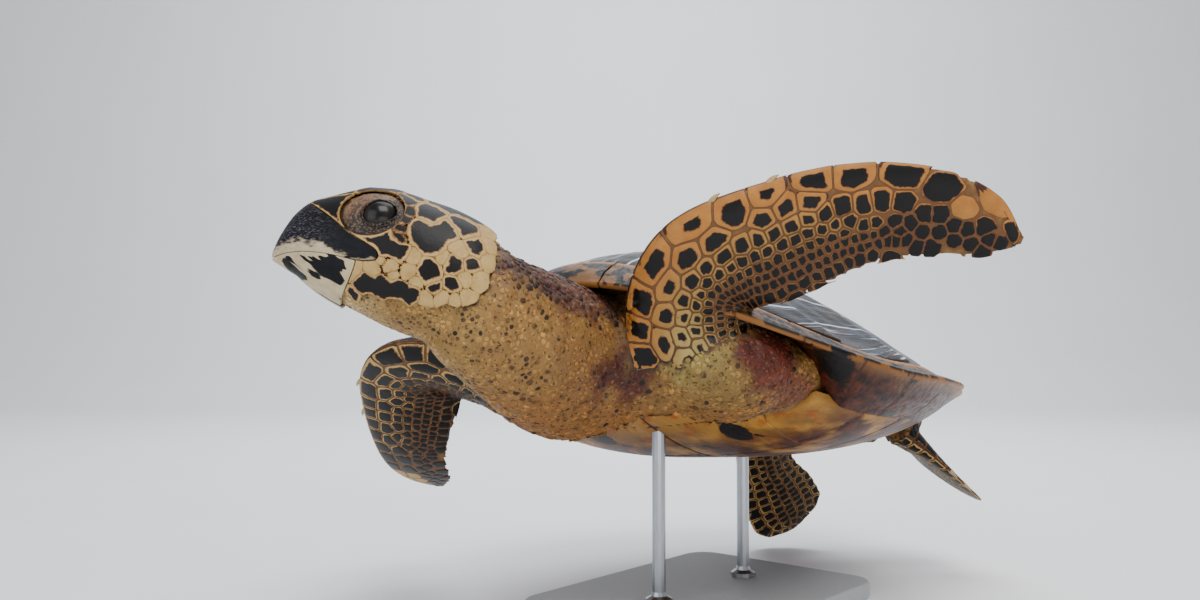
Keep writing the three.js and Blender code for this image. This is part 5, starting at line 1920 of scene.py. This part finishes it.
def add_stage():
    """A pale floor that sweeps up into a backdrop."""
    depth, rise, bend = 4.2, 3.0, 1.2
    look = math.radians(CAMERA["look"])
    ahead = np.array([math.cos(look), math.sin(look), 0])
    across = np.array([-ahead[1], ahead[0], 0])
    profile = [(-3.0, 0.0), (depth - bend, 0.0)]
    profile += [(depth - bend + bend * math.sin(a), bend - bend * math.cos(a))
                for a in np.linspace(0, math.pi / 2, 16)[1:]]
    profile += [(depth, rise + bend)]
    left = [ahead * s + across * 6 + [0, 0, z] for s, z in profile]
    right = [ahead * s - across * 6 + [0, 0, z] for s, z in profile]
    n = len(profile)
    quads = np.array([[i, i + 1, n + i + 1, n + i] for i in range(n - 1)])
    mesh = mesh_of("floor", np.array(left + right), [quads])
    p = Paint("floor", 0.75)
    base = p.blend(p.noise(400, 2), "e6e7e8", "eeeeef")
    piece = bpy.data.objects.new("floor", mesh)
    bpy.context.scene.collection.objects.link(piece)
    mesh.materials.append(p.finish(base))
    mesh.shade_smooth()


def add_light(name, place, target, size, power, tint):
    lamp = bpy.data.lights.new(name, "AREA")
    lamp.shape = "RECTANGLE"
    lamp.size, lamp.size_y = size
    lamp.energy = power
    lamp.color = tint
    holder = bpy.data.objects.new(name, lamp)
    holder.location = place
    holder.rotation_euler = (Vector(target) - Vector(place)).to_track_quat("-Z", "Y").to_euler()
    bpy.context.scene.collection.objects.link(holder)


def add_world():
    world = bpy.data.worlds.new("studio")
    world.use_nodes = True
    background = world.node_tree.nodes["Background"]
    background.inputs["Color"].default_value = (0.85, 0.9, 1, 1)
    background.inputs["Strength"].default_value = 0.6
    bpy.context.scene.world = world


def add_camera():
    camera = bpy.data.cameras.new("camera")
    camera.sensor_width, camera.lens = 36, CAMERA["lens"]
    camera.clip_start = 0.01
    holder = bpy.data.objects.new("camera", camera)
    azimuth, distance = math.radians(CAMERA["azimuth"]), CAMERA["distance"]
    holder.location = (distance * math.cos(azimuth) - CENTRE_X * MM, distance * math.sin(azimuth),
                       CAMERA["height"])
    look, rise = math.radians(CAMERA["look"]), math.radians(CAMERA["look_up"])
    aim = Vector((math.cos(look) * math.cos(rise), math.sin(look) * math.cos(rise), math.sin(rise)))
    holder.rotation_euler = aim.to_track_quat("-Z", "Y").to_euler()
    bpy.context.scene.collection.objects.link(holder)
    bpy.context.scene.camera = holder


add_stage()
for facts in LIGHTS:
    add_light(*facts)
add_world()
add_camera()
